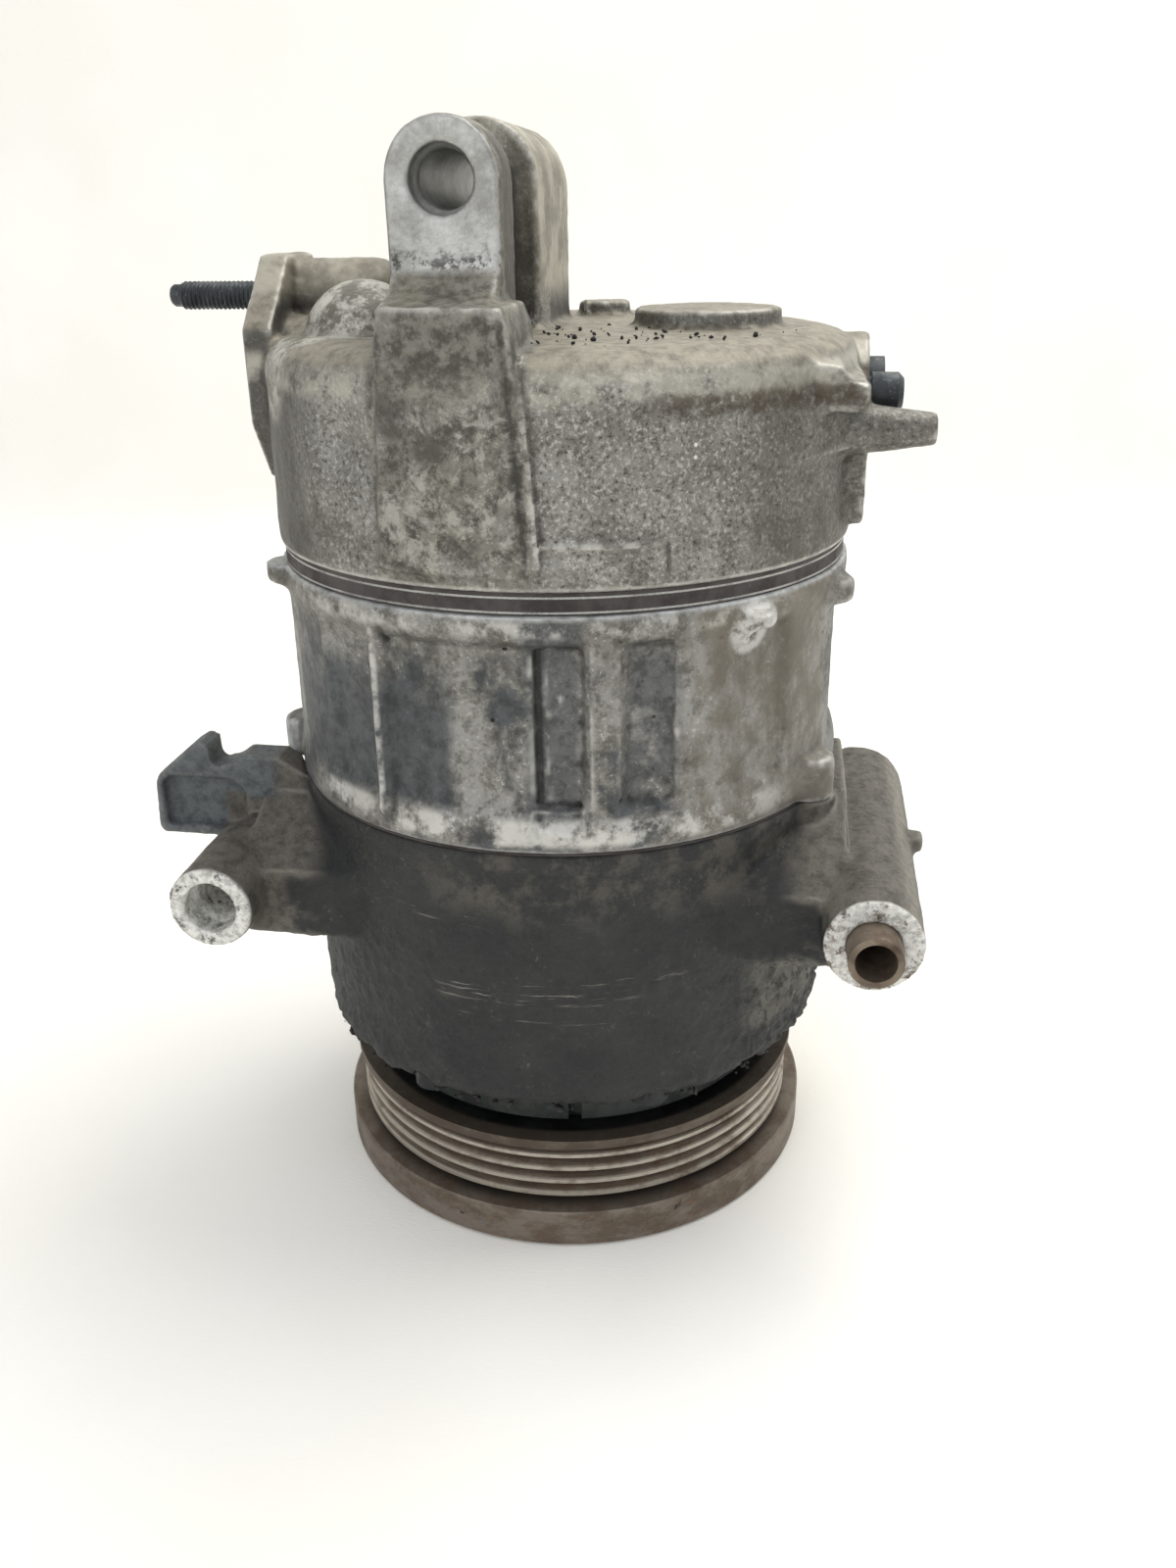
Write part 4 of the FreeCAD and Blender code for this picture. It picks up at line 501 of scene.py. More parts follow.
def block_highlight_bands(p):
    """Painted highlights: the bright bands on the shoulder and the upper flange, on the front only."""
    shoulder = p.both(p.within(p.z, 0.1035, 0.1090, 0.001), p.mask(p.noise(9.0, 6.0, 0.7, offset=3.0), 0.44, 0.58))
    flange = p.both(p.within(p.z, 0.1462, 0.1495, 0.001), p.mask(p.noise(6.0, 6.0, 0.7, offset=5.0), 0.46, 0.62))
    front = p.mask(p.azimuth(), 62.0, 40.0)
    highlight_band = p.both(p.either(shoulder, p.level(flange, 0.0, 0.7)), front)
    return p.both(highlight_band, p.mask(p.azimuth(), -62.0, -42.0))


def block_casting():
    """Bright cast aluminium with blue-black grease lying in its pockets."""
    p = Paint("block_casting")
    p.z = p.axis("Z")
    p.around = p.wavered(p.azimuth(), 7.0, 2.2)
    p.grain = p.noise(0.9, 5.0, 0.75)
    p.blotch = p.noise(14.0, 6.0, 0.70, stretch=(1, 1, 0.7))
    p.fine = p.noise(3.2, 6.0, 0.72)
    grease = p.blend(p.mask(p.fine, 0.35, 0.65), "#4b4f53", "#2e3134")
    darkened = block_grease_and_side_shade(p)
    # Grease in the pockets, recess and valley, plus painted shade on both far sides, in the same dark colour.
    tint = p.wash(block_metal(p), darkened, 0.88, grease)
    pits = p.both(p.mask(p.cells(4.4), 0.15, 0.10), p.mask(p.noise(9.0), 0.48, 0.6))
    tint = p.blend(pits, tint, "#141211")
    brown = p.within(p.around, 31.0, 70.0, 4.0)
    tint = p.wash(tint, p.both(brown, p.mask(p.blotch, 0.30, 0.60)), 0.75, "#726b5e")
    shade = p.both(p.attribute("hollow"), p.mask(p.fine, 0.22, 0.50))
    tint = p.wash(tint, shade, 0.9, "#1f1f1f")
    # Painted highlights on the shoulder and the upper flange, which are also made glossier.
    highlight_band = block_highlight_bands(p)
    tint = p.wash(tint, highlight_band, 0.8, "#cccbc6")
    lug = p.both(p.near((0.0426, -0.0434, 0.1445), 0.0052, 0.0066), p.mask(p.fine, 0.62, 0.46))
    tint = p.wash(tint, lug, 0.8, "#cfceca")
    wear = p.both(p.attribute("crest"), p.mask(p.noise(5.0, 5.0), 0.38, 0.58))
    tint = p.wash(tint, wear, 0.75, "#c8c7c2")
    bare = p.blend(p.mask(p.fine, 0.4, 0.7), "#b9bbbb", "#808280")
    tint = p.blend(p.attribute("machined"), tint, bare)
    gloss = p.level(p.either(wear, highlight_band), 0.52, 0.33)
    metal = p.level(p.either(darkened, brown), 0.8, 0.3)
    return p.done(tint, gloss, metal, p.bump(p.grain, 0.14, p.bump(p.fine, 0.20)))


# ---------------------------------------------------------------- the front housing's material

def housing_grease(p):
    """Black sandy grease, with paler sand high up on the right."""
    tint = p.blend(p.mask(p.blotch, 0.38, 0.62), "#1e2021", "#2b2c2b")
    sparse = p.mask(p.noise(11.0, 6.0, 0.7, offset=20.0), 0.44, 0.62)
    grit = p.both(p.mask(p.sand, 0.50, 0.64), p.mask(p.fine, 0.44, 0.60), sparse)
    tint = p.blend(grit, tint, "#625e54")
    tint = p.wash(tint, p.mask(p.sand, 0.45, 0.36), 0.9, "#0a0b0b")
    high = p.mask(p.wavered(p.z, 14.0, 0.008), 0.082, 0.090)
    thin = p.mask(p.noise(9.0, 6.0, 0.72, offset=8.0), 0.46, 0.60)
    return p.wash(tint, p.both(high, thin, p.mask(p.x, -0.030, -0.010)), 0.65, "#5a564d")


def housing_scratches(p, tint):
    """Four bands of light scratches round the front, and a sandy crust low on the right."""
    bands = ((0.0835, 0.0862, -28.0), (0.0705, 0.0720, -8.0), (0.0612, 0.0625, -14.0), (0.0655, 0.0700, -18.0))
    for low, top, start in bands:
        band = p.both(p.within(p.z, low, top, 0.0004), p.within(p.azimuth(), start, start + 38.0, 4.0))
        lines = p.noise(1.4, 4.0, 0.7, stretch=(0.12, 0.12, 3.0), offset=low * 100)
        tint = p.wash(tint, p.both(band, p.mask(lines, 0.56, 0.66)), 0.8, "#98928a")
    crust = p.both(p.mask(p.azimuth(), 44.0, 52.0), p.within(p.wavered(p.z, 5.0, 0.003), 0.050, 0.072, 0.002))
    return p.wash(tint, p.both(crust, p.mask(p.fine, 0.36, 0.56)), 0.8, "#6f6d64")


def housing_dust(p, tint, arms):
    """Dusty metal on the upper and outer sides of the two arms."""
    dusty = p.blend(p.mask(p.fine, 0.38, 0.66), "#6e6a62", "#46423b")
    dusty = p.wash(dusty, p.mask(p.sand, 0.44, 0.33), 0.8, "#26231f")
    dusty = p.blend(p.mask(p.sand, 0.60, 0.70), dusty, "#8f8a80")
    lit = p.either(p.mask(p.up, -0.05, 0.35), p.mask(p.blotch, 0.50, 0.60))
    front = p.both(lit, p.mask(p.y, -0.058, -0.050))
    sides = (p.mask(p.x, 0.062, 0.066), p.mask(p.x, -0.055, -0.058))
    return p.wash(tint, p.both(arms, p.either(front, *sides)), 0.95, dusty)


def housing_hook(p, tint):
    """The cast hook at the left, in cleaner blue-grey metal."""
    hook = p.both(p.mask(p.x, -0.062, -0.066), p.mask(p.y, -0.0285, -0.0275), p.mask(p.z, 0.0940, 0.0955))
    hook = p.either(hook, p.both(p.mask(p.x, -0.077, -0.079), p.mask(p.z, 0.0835, 0.0845)))
    plate = p.blend(p.mask(p.fine, 0.40, 0.66), "#646a6c", "#454a4b")
    plate = p.wash(plate, p.attribute("crest"), 0.5, "#8a8d8c")
    return p.blend(hook, tint, plate)


def housing_machined(p):
    """The bright end faces of the two eyes, with dirt, and with rust on the right one."""
    rust = p.both(p.mask(p.noise(3.0, 6.0, 0.8, offset=6.0), 0.50, 0.60), p.mask(p.x, 0.0, 0.01))
    bright = p.blend(p.mask(p.noise(1.6, 5.0), 0.4, 0.65), "#f0f0ec", "#bdbcb7")
    dirt = p.mask(p.noise(4.0, 7.0, 0.8, offset=9.0), 0.54, 0.60)
    bright = p.wash(bright, dirt, 0.8, "#3a3632")
    return p.wash(bright, rust, 0.85, "#5f4836")


def housing_casting():
    """Casting under black sandy grease, rubbed through to light scratches here and there."""
    p = Paint("housing_casting")
    p.x, p.y, p.z = (p.axis(letter) for letter in "XYZ")
    p.up = p.facing("Z")
    p.sand = p.noise(1.0, 5.0, 0.78)
    p.blotch = p.noise(16.0, 6.0, 0.70)
    p.fine = p.noise(3.0, 6.0, 0.75)
    arms = p.either(p.mask(p.x, -0.046, -0.054), p.mask(p.x, 0.050, 0.058))
    arms = p.both(arms, p.mask(p.z, 0.066, 0.072), p.mask(p.radius(), 0.0612, 0.0640))
    tint = housing_scratches(p, housing_grease(p))
    tint = housing_dust(p, tint, arms)
    edge = p.either(p.attribute("crest"), p.both(p.mask(p.up, 0.3, 0.6), p.mask(p.up, 0.9, 0.7)))
    wear = p.both(edge, arms, p.mask(p.fine, 0.38, 0.56))
    tint = housing_hook(p, p.wash(tint, wear, 0.55, "#a9a59b"))
    eyes = p.either(p.mask(p.x, -0.056, -0.058), p.mask(p.x, 0.056, 0.058))
    cut = p.both(p.attribute("machined"), eyes, p.mask(p.z, 0.0960, 0.0950))
    tint = p.blend(cut, tint, housing_machined(p))
    gloss = p.level(p.mask(p.sand, 0.35, 0.65), 0.46, 0.75)
    metal = p.level(p.either(cut, wear), 0.0, 0.6)
    return p.done(tint, gloss, metal, p.bump(p.sand, 0.45, p.bump(p.fine, 0.55)))


# ---------------------------------------------------------------- the pulley's material

def pulley_grooves(p, tint):
    """Rib crests worn bright with painted highlights, and painted shade in the valleys and in the gap beside the
    front ring.
    """
    ribs = p.within(p.z, 0.0108, 0.0248, 0.0002)
    # Rib crests worn bright, with a painted highlight along them.
    crest = p.both(ribs, p.mask(p.far, 0.0543, 0.0549))
    tint = p.wash(tint, p.both(crest, p.mask(p.rust, 0.70, 0.45)), 0.9, "#bab3a7")
    # Painted shade: the valleys grow darker towards their bottoms.
    valley = p.both(ribs, p.mask(p.far, 0.0534, 0.0525))
    tint = p.wash(tint, valley, 0.55, "#3b342d")
    # Painted shade in the gap beside the front ring.
    return p.wash(tint, p.within(p.z, 0.0096, 0.0112, 0.0002), 0.75, "#241f1b")


def pulley_steel():
    """Turned steel: thin bright crests, brown valleys, a dull brown-grey ring and a painted shadow inside the rear
    lip.
    """
    p = Paint("pulley_steel")
    p.z = p.axis("Z")
    p.far = p.radius()
    turned = p.noise(0.7, 4.0, 0.6, stretch=(0.06, 0.06, 2.4))
    p.rust = p.noise(10.0, 6.0, 0.72, stretch=(1, 1, 2.0))
    fine = p.noise(1.1, 5.0, 0.75)
    tint = p.blend(p.mask(turned, 0.35, 0.65), "#948c81", "#6c655c")
    tint = p.wash(tint, p.mask(p.rust, 0.40, 0.62), 0.8, "#5d4a3a")
    tint = p.blend(p.both(p.mask(fine, 0.56, 0.68), p.mask(p.rust, 0.4, 0.6)), tint, "#7b5538")
    tint = pulley_grooves(p, tint)
    ring = p.mask(p.z, 0.0099, 0.0095)
    dull = p.blend(p.mask(p.rust, 0.40, 0.60), "#857d74", "#5f5347")
    dull = p.wash(dull, p.mask(fine, 0.54, 0.66), 0.7, "#94704f")
    dull = p.blend(p.mask(p.noise(4.0, 6.0, offset=3.0), 0.62, 0.70), dull, "#35312e")
    tint = p.blend(ring, tint, dull)
    lip = p.mask(p.z, 0.0247, 0.0253)
    brown = p.blend(p.mask(p.rust, 0.38, 0.60), "#6b6258", "#4a4036")
    tint = p.wash(tint, lip, 0.9, brown)
    # Painted shadow: near-black inside the rear lip.
    inside = p.mask(p.far, 0.0530, 0.0515)
    tint = p.blend(p.both(inside, lip), tint, "#1d1e1e")
    gloss = p.level(p.either(ring, lip), 0.40, 0.60)
    metal = p.level(p.mask(p.rust, 0.44, 0.60), 0.8, 0.4)
    return p.done(tint, gloss, metal, p.bump(turned, 0.05, p.bump(fine, 0.06)))


# ---------------------------------------------------------------- casting skins

def mesh_arrays(mesh):
    """The mesh's points and edges as arrays."""
    points = np.empty(len(mesh.vertices) * 3)
    mesh.vertices.foreach_get("co", points)
    edges = np.empty(len(mesh.edges) * 2, np.int64)
    mesh.edges.foreach_get("vertices", edges)
    return points.reshape(-1, 3), edges.reshape(-1, 2)


def mesh_normals(mesh):
    """The mesh's normal at each point."""
    normals = np.empty(len(mesh.vertices) * 3)
    mesh.vertex_normals.foreach_get("vector", normals)
    return normals.reshape(-1, 3)


def move_points(mesh, points):
    """Puts the mesh's points in new places."""
    mesh.vertices.foreach_set("co", points.ravel())
    mesh.update()


def relaxed(points, edges, strength, rounds):
    """The points moved towards their neighbours' middle, by strength at each, several times."""
    count = len(points)
    a, b = edges.T
    degree = np.maximum(np.bincount(a, minlength=count) + np.bincount(b, minlength=count), 1)
    strength = np.broadcast_to(strength, count)[:, None]
    for _ in range(rounds):
        total = np.stack([
            np.bincount(a, points[b, k], count) + np.bincount(b, points[a, k], count)
            for k in range(3)
        ], axis=1)
        points = points + strength * (total / degree[:, None] - points)
    return points


def store_mask(mesh, name, values):
    """Keeps a value from 0 to 1 at each point, for the material to read."""
    layer = mesh.attributes.new(name, "FLOAT", "POINT")
    layer.data.foreach_set("value", np.clip(values, 0, 1).astype(np.float32))


def remeshed(node):
    """A fine even mesh of a CAD node, as a new piece."""
    piece = new_object(node + "_skin", NODES[node].data.copy())
    piece.data.materials.clear()
    remesh = piece.modifiers.new("even", "REMESH")
    remesh.mode = "VOXEL"
    remesh.voxel_size = VOXEL * MM
    graph = bpy.context.evaluated_depsgraph_get()
    mesh = bpy.data.meshes.new_from_object(piece.evaluated_get(graph))
    piece.modifiers.clear()
    piece.data = mesh
    mesh.name = node + "_skin"
    return piece


def standing_out(points, edges, normals):
    """How far each point stands out of its surroundings, in millimetres; negative in a hollow."""
    broad = relaxed(points, edges, 0.6, 10)
    height = np.einsum("ij,ij->i", points - broad, normals) / MM
    return relaxed(np.repeat(height[:, None], 3, 1), edges, 0.5, 1)[:, 0]


def seat_bores(points, bores):
    """Puts the points beside each running bore back on its true radius."""
    for x, y, radius, low, high in bores:
        offset = points[:, :2] - (x, y)
        far = np.hypot(*offset.T)
        seat = (abs(far - radius) < SEAT_REACH * MM) & (points[:, 2] > low) & (points[:, 2] < high)
        points[seat, :2] = (x, y) + offset[seat] * ((radius + SEAT_GAP * MM) / far[seat])[:, None]


def casting(node, rounds, crisp, relief, material, bores=()):
    """Replaces a CAD casting with a skin that has rounded edges and a cast surface.

    rounds is how often the skin is smoothed. crisp(points, normals) is 1 on machined places, which
    stay sharp. relief(points, normals) is in metres. bores holds (x, y, radius, low z, high z) of
    the running bores, in metres.
    """
    piece = remeshed(node)
    mesh = piece.data
    points, edges = mesh_arrays(mesh)
    machined = crisp(points, mesh_normals(mesh))
    soft = relaxed(points, edges, 0.5 * (1 - MACHINED_HOLD * machined), rounds)
    move_points(mesh, soft)
    normals = mesh_normals(mesh)
    points = soft + normals * (relief(soft, normals) * (1 - machined))[:, None]
    height = standing_out(points, edges, normals)
    seat_bores(points, bores)
    low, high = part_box(node)
    move_points(mesh, np.clip(points, np.array(low), np.array(high)))
    store_mask(mesh, "crest", rise(height, EDGE_STARTS, EDGE_FULL))
    store_mask(mesh, "hollow", rise(-height, EDGE_STARTS, EDGE_FULL))
    store_mask(mesh, "machined", machined)
    smooth_shading(mesh)
    mesh.materials.append(material)
    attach(piece, "root")
    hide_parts(node)


def cast_grain(points, depth, seed):
    """The fine uneven surface of a sand or die casting."""
    coarse = lattice_noise(points, 7 * MM, seed) * 0.6
    middle = lattice_noise(points, 2.6 * MM, seed + 1) * 0.5
    fine = lattice_noise(points, 1.2 * MM, seed + 2) * 0.5
    return (coarse + middle + fine) * depth * MM


def head_crisp(points, normals):
    """1 on the ear's face and bore, the pipe flange's face and the seam."""
    x, y, z = points.T / MM
    ear = rise(y, -42.6, -43.4) * rise(z, 207.5, 208.5) * rise(-normals[:, 1], 0.5, 0.9)
    bore = rise(np.hypot(x - EAR_X, z - EAR_Z), 7.2, 6.4) * rise(z, 200, 205)
    port = rise(x, -62.0, -62.6) * rise(-normals[:, 0], 0.5, 0.9)
    low_seam = rise(z, 155.6, 155.0)
    return np.maximum.reduce([ear, bore, port, low_seam])


def head_relief(points, normals):
    """Cast grain, the fine parting line, the raised panel and its step, and the column's rib."""
    x, y, z = points.T / MM
    turn = around_shaft(x, y)
    side = rise(1 - abs(normals[:, 2]), 0.5, 0.8) * rise(np.hypot(x, y), 60, 61)
    line = hump(turn, 10.6, 0.55) * between(z, 162, 164, 186, 188) * 0.3
    panel = between(turn, 2, 3, 24, 26) * rise(z, 163.2, 164.0) * 0.35
    foot = between(turn, 1, 2, 25.4, 26) * rise(z, 163.6, 163.0) * 0.15
    hollow = hump(turn, -33, 5.5) * hump(z, 180, 7) * -2.2
    brow = hump(turn, -41, 4.0) * hump(z, 176, 13) * 0.9
    notch = hump(turn, 26.6, 0.5) * between(z, 157, 158, 163, 164) * -0.5
    ridge = hump(z, 163.2, 0.7) * between(turn, 3, 4, 25, 26) * 0.9
    across = x - (1.6 + 3.0 * (199.5 - z) / 42)
    tall = between(z, 157, 160, 200, 203) * rise(-normals[:, 1], 0.2, 0.6)
    rib = (hump(across, 0, 0.65) * 1.15 - hump(across, -1.9, 0.8) * 0.75) * tall
    shaped = (line + panel + foot + hollow + brow + notch + ridge) * side + rib
    return cast_grain(points, 0.15, 11) * rise(z, 150, 156) + shaped * MM


def block_crisp(points, normals):
    """1 inside the block, on both seams and on the front of the left lug."""
    x, y, z = points.T / MM
    inside = rise(np.hypot(x, y), 57.5, 56.5)
    seams = np.maximum(rise(z, 102.4, 102.0), rise(z, 149.6, 150.0))
    lug = rise(x, -60.5, -62) * rise(-normals[:, 1], 0.3, 0.7)
    return np.maximum.reduce([inside, seams, lug])


def block_relief(points, normals):
    """Cast grain, the thin rib and its gutter, the recess with its channel, and the rough valley."""
    x, y, z = points.T / MM
    turn = around_shaft(x, y)
    side = rise(np.hypot(x, y), 57, 58) * rise(1 - abs(normals[:, 2]), 0.3, 0.6)
    tall = between(z, 105, 107.5, 144, 146.5)
    rib = hump(turn, -28.6, 0.75) * 1.3
    gutter = hump(turn, -26.4, 0.7) * -0.5
    channel = hump(turn, 3.6, 0.8) * -1.0
    scoop = between(turn, 2.8, 4.0, 11.0, 12.4) * rise(z, 118, 109)
    mouth = between(turn, 2.8, 5.0, 10.0, 12.4) * between(z, 105.5, 108, 110.5, 113) * -1.3
    swell = between(turn, 12.2, 13.2, 17.5, 19) * 0.5
    rough = between(turn, 3.5, 4.5, 11.0, 12.0) * lattice_noise(points, 1.7 * MM, 24) * 0.35
    patch = between(turn, 19, 22, 30, 33) * lattice_noise(points, 2.2 * MM, 25) * 0.25
    shaped = rib + gutter + channel + scoop + mouth + swell + rough + patch
    return cast_grain(points, 0.14, 21) + shaped * side * tall * MM


def housing_crisp(points, normals):
    """1 inside the housing, on the end faces and bores of the two eyes and on the seam."""
    x, y, z = points.T / MM
    inside = rise(np.hypot(x, y), 56, 55)
    eye = rise(y, -55.2, -55.7) * rise(abs(x), 55, 58)
    for side in (-EYE_X, EYE_X):
        eye = np.maximum(eye, rise(np.hypot(x - side, z - EYE_Z), 6.6, 6.2))
    seam = rise(z, 100.2, 100.7)
    return np.maximum.reduce([inside, eye, seam])


def housing_relief(points, normals):
    """Cast grain under a coat of sandy grease that ends in a ragged lower edge."""
    x, y, z = points.T / MM
    outside = rise(np.hypot(x, y), 56, 58)
    coat = rise(z, 92, 70) * rise(abs(x), 64, 60) * outside
    hem = rise(z, 47, 42) * outside
    crust = rise(around_shaft(x, y), 44, 52) * rise(z, 76, 70) * outside
    lumps = np.zeros(len(points))
    for size, share, seed in ((6, 0.45, 31), (2.4, 0.35, 32), (1.3, 0.3, 33)):
        lumps += np.maximum(lattice_noise(points, size * MM, seed), 0) * share
    ragged = lattice_noise(points, 7 * MM, 36) * 0.6 + lattice_noise(points, 3 * MM, 37) * 0.6
    shaped = lumps * coat + ragged * hem * 0.9 + lumps * crust * 1.6
    return cast_grain(points, 0.15, 35) + shaped * MM


# ---------------------------------------------------------------- separate pieces

def thread_radius(along, turn, length):
    """The stud's radius at a distance along it and a share of a turn round it, in metres."""
    full = THREAD_RADIUS * MM
    depth = THREAD_DEPTH * MM
    neck = full * DOG_SHARE
    saw = abs(((along / (THREAD_PITCH * MM) - turn) % 1) * 2 - 1)
    r = full - depth * min(1.0, 1.25 * saw)
    if along < PLAIN_ROOT * MM:
        r = full - depth * 0.5
    if along > length - DOG_POINT * MM:
        r = min(r, neck)
    r = min(r, neck + max(0.0, length - DOG_POINT * MM - along))
    bevel_start = length - TIP_BEVEL * MM
    if along > bevel_start:
        r = min(r, neck - (along - bevel_start) * 0.7)
    return r


def tube_faces(rows):
    """Faces that join rings of points into a tube, with both ends closed."""
    faces = []
    for row in range(rows):
        for k in range(RING_POINTS):
            a = row * RING_POINTS + k
            b = row * RING_POINTS + (k + 1) % RING_POINTS
            faces.append((a, b, b + RING_POINTS, a + RING_POINTS))
    faces.append(tuple(range(RING_POINTS)))
    faces.append(tuple(reversed(range(rows * RING_POINTS, (rows + 1) * RING_POINTS))))
    return faces


def thread_piece(node, material):
    """The port stud with a real helical thread, a smaller dog point and a plain root."""
    low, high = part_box(node)
    centre_y = (low[1] + high[1]) / 2
    centre_z = (low[2] + high[2]) / 2
    length = FLANGE_X * MM - low[0]
    rows = int(length / (RING_STEP * MM))
    vertices = []
    for row in range(rows + 1):
        along = length * row / rows
        for k in range(RING_POINTS):
            turn = k / RING_POINTS
            r = thread_radius(along, turn, length)
            angle = turn * 2 * math.pi
            y = centre_y + r * math.cos(angle)
            z = centre_z + r * math.sin(angle)
            vertices.append((FLANGE_X * MM - along, y, z))
    mesh = bpy.data.meshes.new(node + "_thread")
    mesh.from_pydata(vertices, [], tube_faces(rows))
    outward = bmesh.new()
    outward.from_mesh(mesh)
    bmesh.ops.recalc_face_normals(outward, faces=outward.faces)
    outward.to_mesh(mesh)
    outward.free()
    smooth_shading(mesh)
    mesh.materials.append(material)
    piece = new_object(node + "_thread", mesh)
    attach(piece, "root")
    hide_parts(node)


def lump(mesh, centre, size, draw):
    """One small irregular crumb."""
    made = bmesh.ops.create_icosphere(mesh, subdivisions=1, radius=size / 2)
    flat = draw.uniform(0.45, 0.8)
    turn = Matrix.Rotation(draw.uniform(0, math.tau), 3, (draw.random(), draw.random(), draw.random() + 0.1))
    for vertex in made["verts"]:
        push = draw.uniform(0.75, 1.2)
        local = Vector((vertex.co.x * push, vertex.co.y * push, vertex.co.z * push * flat))
        vertex.co = turn @ local + centre


def crumbs(name, spots, material):
    """Many loose crumbs as one piece: spots holds (centre, size) in metres."""
    draw = random.Random(name)
    grown = bmesh.new()
    for centre, size in spots:
        lump(grown, Vector(centre), size, draw)
    mesh = bpy.data.meshes.new(name)
    grown.to_mesh(mesh)
    grown.free()
    smooth_shading(mesh)
    mesh.materials.append(material)
    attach(new_object(name, mesh), "root")


def top_crumbs():
    """Black crumbs lying on the rear head beside the ear's column."""
    draw = random.Random(5)
    spots = []
    lying_z = 196.6
    for _ in range(80):
        x = draw.gauss(16, 13)
        y = draw.gauss(-30, 12)
        on_head = math.hypot(x, y) < 57 and x > -1
        if on_head and math.hypot(x - 31, y) > 16:
            size = 0.3 + 1.0 * draw.random() ** 2
            spots.append(((x * MM, y * MM, lying_z * MM), size * MM))
    return spots


def lip_crumbs():
    """Lumps of sandy grease hanging on the housing's lower lip."""
    draw = random.Random(8)
    spots = []
    lowest_z = 37.4
    for _ in range(230):
        turn = draw.uniform(0, math.tau)
        far = draw.uniform(58.2, 60.6)
        height = draw.gauss(39.6 + 1.4 * math.sin(5 * turn), 1.0)
        size = 0.5 + 2.2 * draw.random() ** 2
        if height > lowest_z + size / 2:
            centre = (far * math.sin(turn) * MM, -far * math.cos(turn) * MM, height * MM)
            spots.append((centre, size * MM))
    return spots


# ---------------------------------------------------------------- stage, light and camera

def add_camera():
    """The camera in front of the part and a little to its right, looking down at it."""
    forward = Vector((-0.13026, 0.90958, -0.39458)).normalized()
    level = Vector((forward.y, -forward.x, 0)).normalized()
    upright = level.cross(forward)
    roll = math.radians(-0.76)
    right = math.cos(roll) * level + math.sin(roll) * upright
    top = -math.sin(roll) * level + math.cos(roll) * upright
    data = bpy.data.cameras.new("camera")
    data.lens = 30.15
    data.clip_start = 0.01
    camera = new_object("camera", data)
    turn = Matrix((right, top, -forward)).transposed().to_4x4()
    camera.matrix_world = Matrix.Translation((0.046007, -0.290479, 0.2167)) @ turn
    bpy.context.scene.camera = camera


def add_stage():
    """A pale cloth: a floor that curves up into a backdrop, all in metres."""
    half_width = 2.2
    bend_y = 0.56
    bend_radius = 0.05
    bend_steps = 8
    profile = [(-1.6, 0.0), (0.0, 0.0), (0.50, 0.0)]
    for step in range(bend_steps + 1):
        angle = step / bend_steps * math.pi / 2
        along = bend_y + bend_radius * math.sin(angle)
        profile.append((along, bend_radius - bend_radius * math.cos(angle)))
    profile.append((0.64, 1.6))
    turn = Matrix.Rotation(math.radians(8.15), 3, "Z")
    vertices = []
    for across in (-half_width, half_width):
        vertices += [turn @ Vector((across, y, z)) for y, z in profile]
    count = len(profile)
    faces = [(k, k + count, k + count + 1, k + 1) for k in range(count - 1)]
    mesh = bpy.data.meshes.new("pale_floor")
    mesh.from_pydata(vertices, [], faces)
    smooth_shading(mesh)
    mesh.materials.append(pale_cloth())
    new_object("pale_floor", mesh)


def add_light(name, place, size, power, tint):
    """A soft round light that looks at the middle of the part."""
    data = bpy.data.lights.new(name, "AREA")
    data.shape = "DISK"
    data.size = size
    data.energy = power
    data.color = colour(tint)[:3]
    light = new_object(name, data)
    light.location = place
    middle = Vector((0, 0, 0.12))
    light.rotation_euler = (middle - Vector(place)).to_track_quat("-Z", "Y").to_euler()


def add_room():
    """Soft white light all round, brighter from above and behind than from the camera's side."""
    world = bpy.data.worlds.new("soft_room")
    world.use_nodes = True
    tree = world.node_tree
    place = tree.nodes.new("ShaderNodeTexCoord")
    lean = tree.nodes.new("ShaderNodeVectorMath")
    lean.operation = "DOT_PRODUCT"
    lean.inputs[1].default_value = (0.30, 0.35, 0.75)
    tree.links.new(place.outputs["Generated"], lean.inputs[0])
    strength = tree.nodes.new("ShaderNodeMapRange")
    ends = {"From Min": -0.5, "From Max": 0.7, "To Min": 0.30, "To Max": 0.95}
    for key, number in ends.items():
        strength.inputs[key].default_value = number
    tree.links.new(lean.outputs["Value"], strength.inputs["Value"])
    back = tree.nodes["Background"]
    back.inputs["Color"].default_value = colour("#fcfdff")
    tree.links.new(strength.outputs["Result"], back.inputs["Strength"])
    bpy.context.scene.world = world


def add_lights():
    """Two soft lights and the room's own light."""
    add_light("overhead", (0.45, 0.30, 1.2), 0.8, 9.0, "#fffdf8")
    add_light("front", (-0.5, -1.2, 0.7), 0.9, 5.0, "#ffffff")
    add_room()
    bpy.context.scene.view_settings.view_transform = "Standard"


# ---------------------------------------------------------------- putting it together

def paint_node(node, material):
    """Gives every slot of a CAD node the material."""
    piece = NODES[node]
    if not piece.data.materials:
        piece.data.materials.append(material)
    for slot in piece.material_slots:
        slot.material = material


def cylinder_bores():
    """The block's running bores, in metres. Their middles are measured from the pistons."""
    bores = []
    for node in sorted(n for n in NODES if n.startswith("piston_")):
        low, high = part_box(node)
        middle = ((low[0] + high[0]) / 2, (low[1] + high[1]) / 2)
        bores.append((*middle, 15.0 * MM, 101.7 * MM, 150.4 * MM))
    return bores


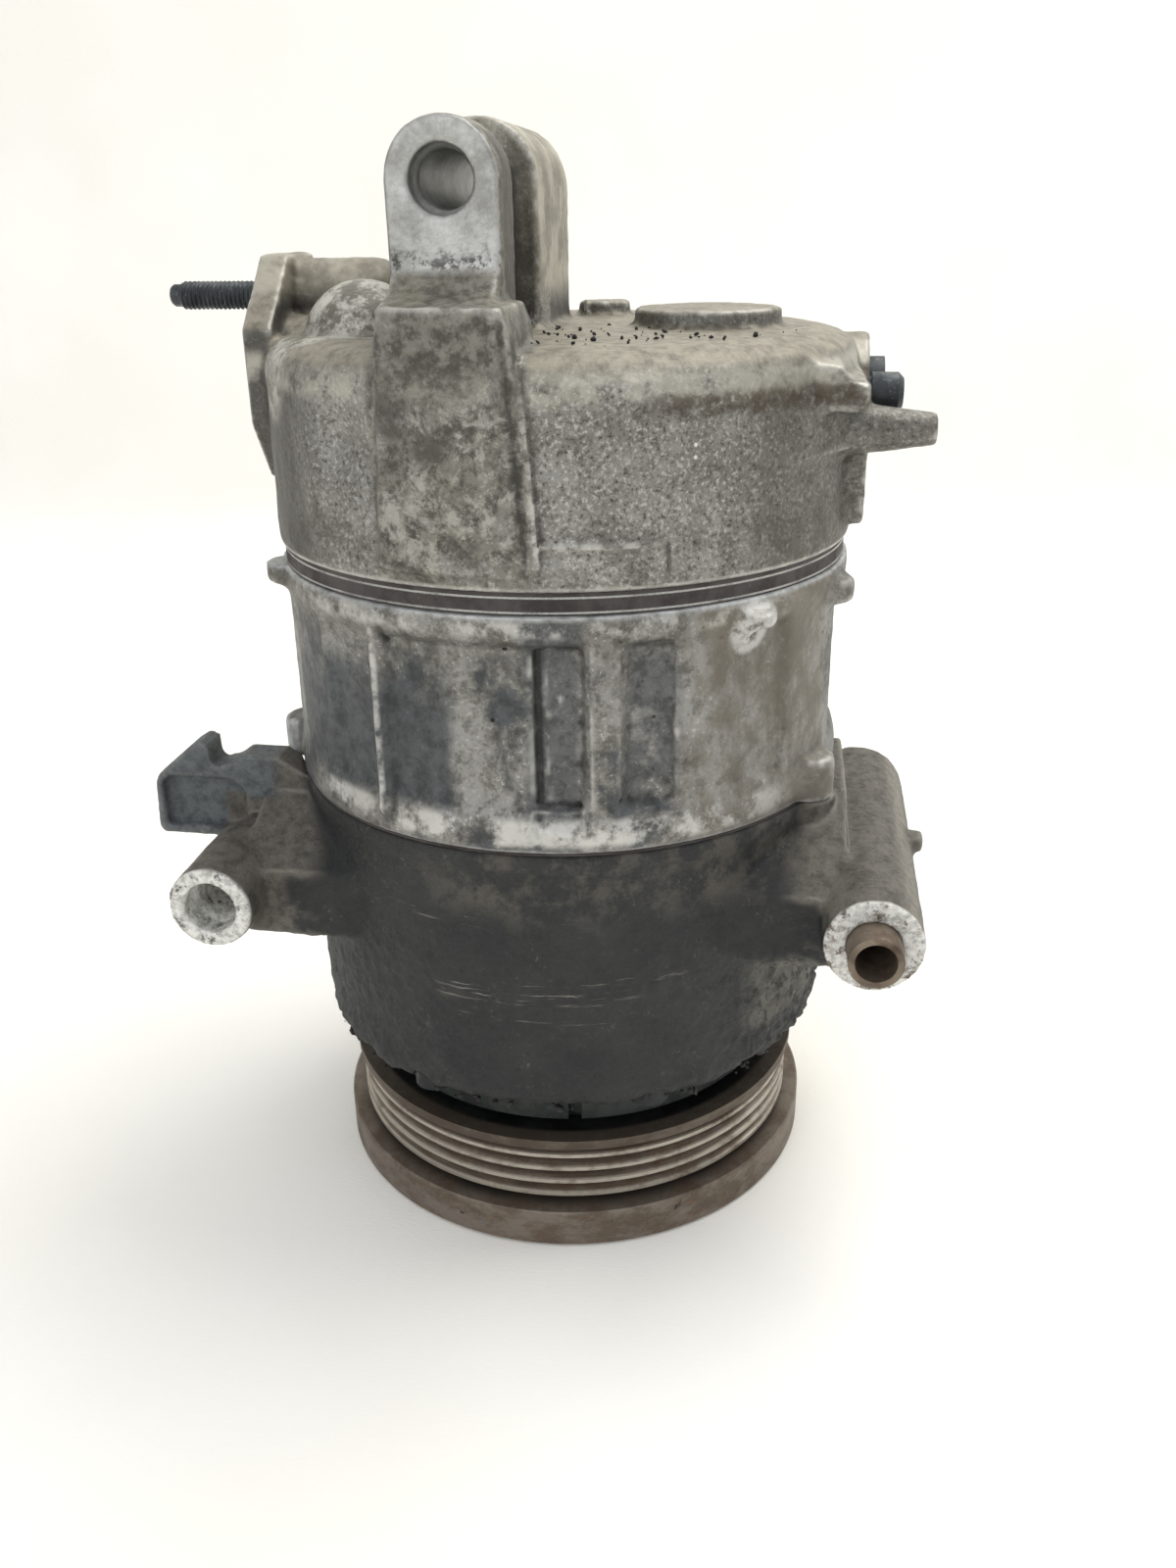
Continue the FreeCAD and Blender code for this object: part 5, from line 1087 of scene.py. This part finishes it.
def paint_all(black):
    """A material on every CAD node. Nodes that are named in no group are plain steel."""
    steel = worn_metal("bare_steel", "#8f8d88", "#6b6862", "#b5b2ab")
    bright = brushed_metal("ground_steel", "#b9b9b6", "#8d8d8a", (1, 1, 6))
    alloy = worn_metal("plain_aluminium", "#a8a7a3", "#83817b", "#c5c3be", 0.4)
    rusty = worn_metal("rusty_steel", "#7d7163", "#54443a", "#a89d8d", 0.5, 0.6)
    oily = worn_metal("oily_steel", "#26282a", "#1a1b1c", "#45443f", 0.5, 0.4)
    dark = worn_metal("gasket_edge", "#45403f", "#35302f", "#5b504a", 0.6, 0.2)
    clutch = worn_metal("clutch_steel", "#5e554c", "#43362c", "#87735f", 0.55, 0.6)
    seal = moulded("black_rubber", "#161616", "#2f2c29")
    resin = moulded("coil_resin", "#4d2a1c", "#6a4a38", 0.5)
    groups = [
        (pulley_steel(), "drive_pulley"),
        (dirty_strip(), "coil_cup"),
        (rusty, "boss_sleeve"),
        (resin, "coil_winding"),
        (seal, "bearing_seals shaft_seal"),
        (black, "relief_valve control_valve hub_bolt"),
        (oily, "through_bolts coil_screws"),
        (dark, "head_gasket valve_plate block_gasket crankcase_gasket"),
        (bright, "suction_reed discharge_reed drive_shaft swash_plate"),
        (clutch, "armature_plate clutch_hub leaf_springs"),
    ]
    special = {node: material for material, nodes in groups for node in nodes.split()}
    castings = ("piston_", "cylinder_block", "rear_head", "front_housing")
    for node in NODES:
        plain = alloy if node.startswith(castings) else steel
        paint_node(node, special.get(node, plain))


def main():
    """Builds the whole scene."""
    add_camera()
    add_stage()
    add_lights()
    black = worn_metal("black_steel", "#4a4e51", "#2f3235", "#7e8284", 0.38, 0.6)
    grit = worn_metal("oily_grit", "#1b1c1c", "#282624", "#4c4942", 0.6, 0.1)
    paint_all(black)
    casting("rear_head", 8, head_crisp, head_relief, head_casting())
    casting("cylinder_block", 20, block_crisp, block_relief, block_casting(), cylinder_bores())
    casting("front_housing", 9, housing_crisp, housing_relief, housing_casting())
    thread_piece("port_stud", black)
    crumbs("loose_grit", top_crumbs(), grit)
    crumbs("lip_grit", lip_crumbs(), grit)


main()
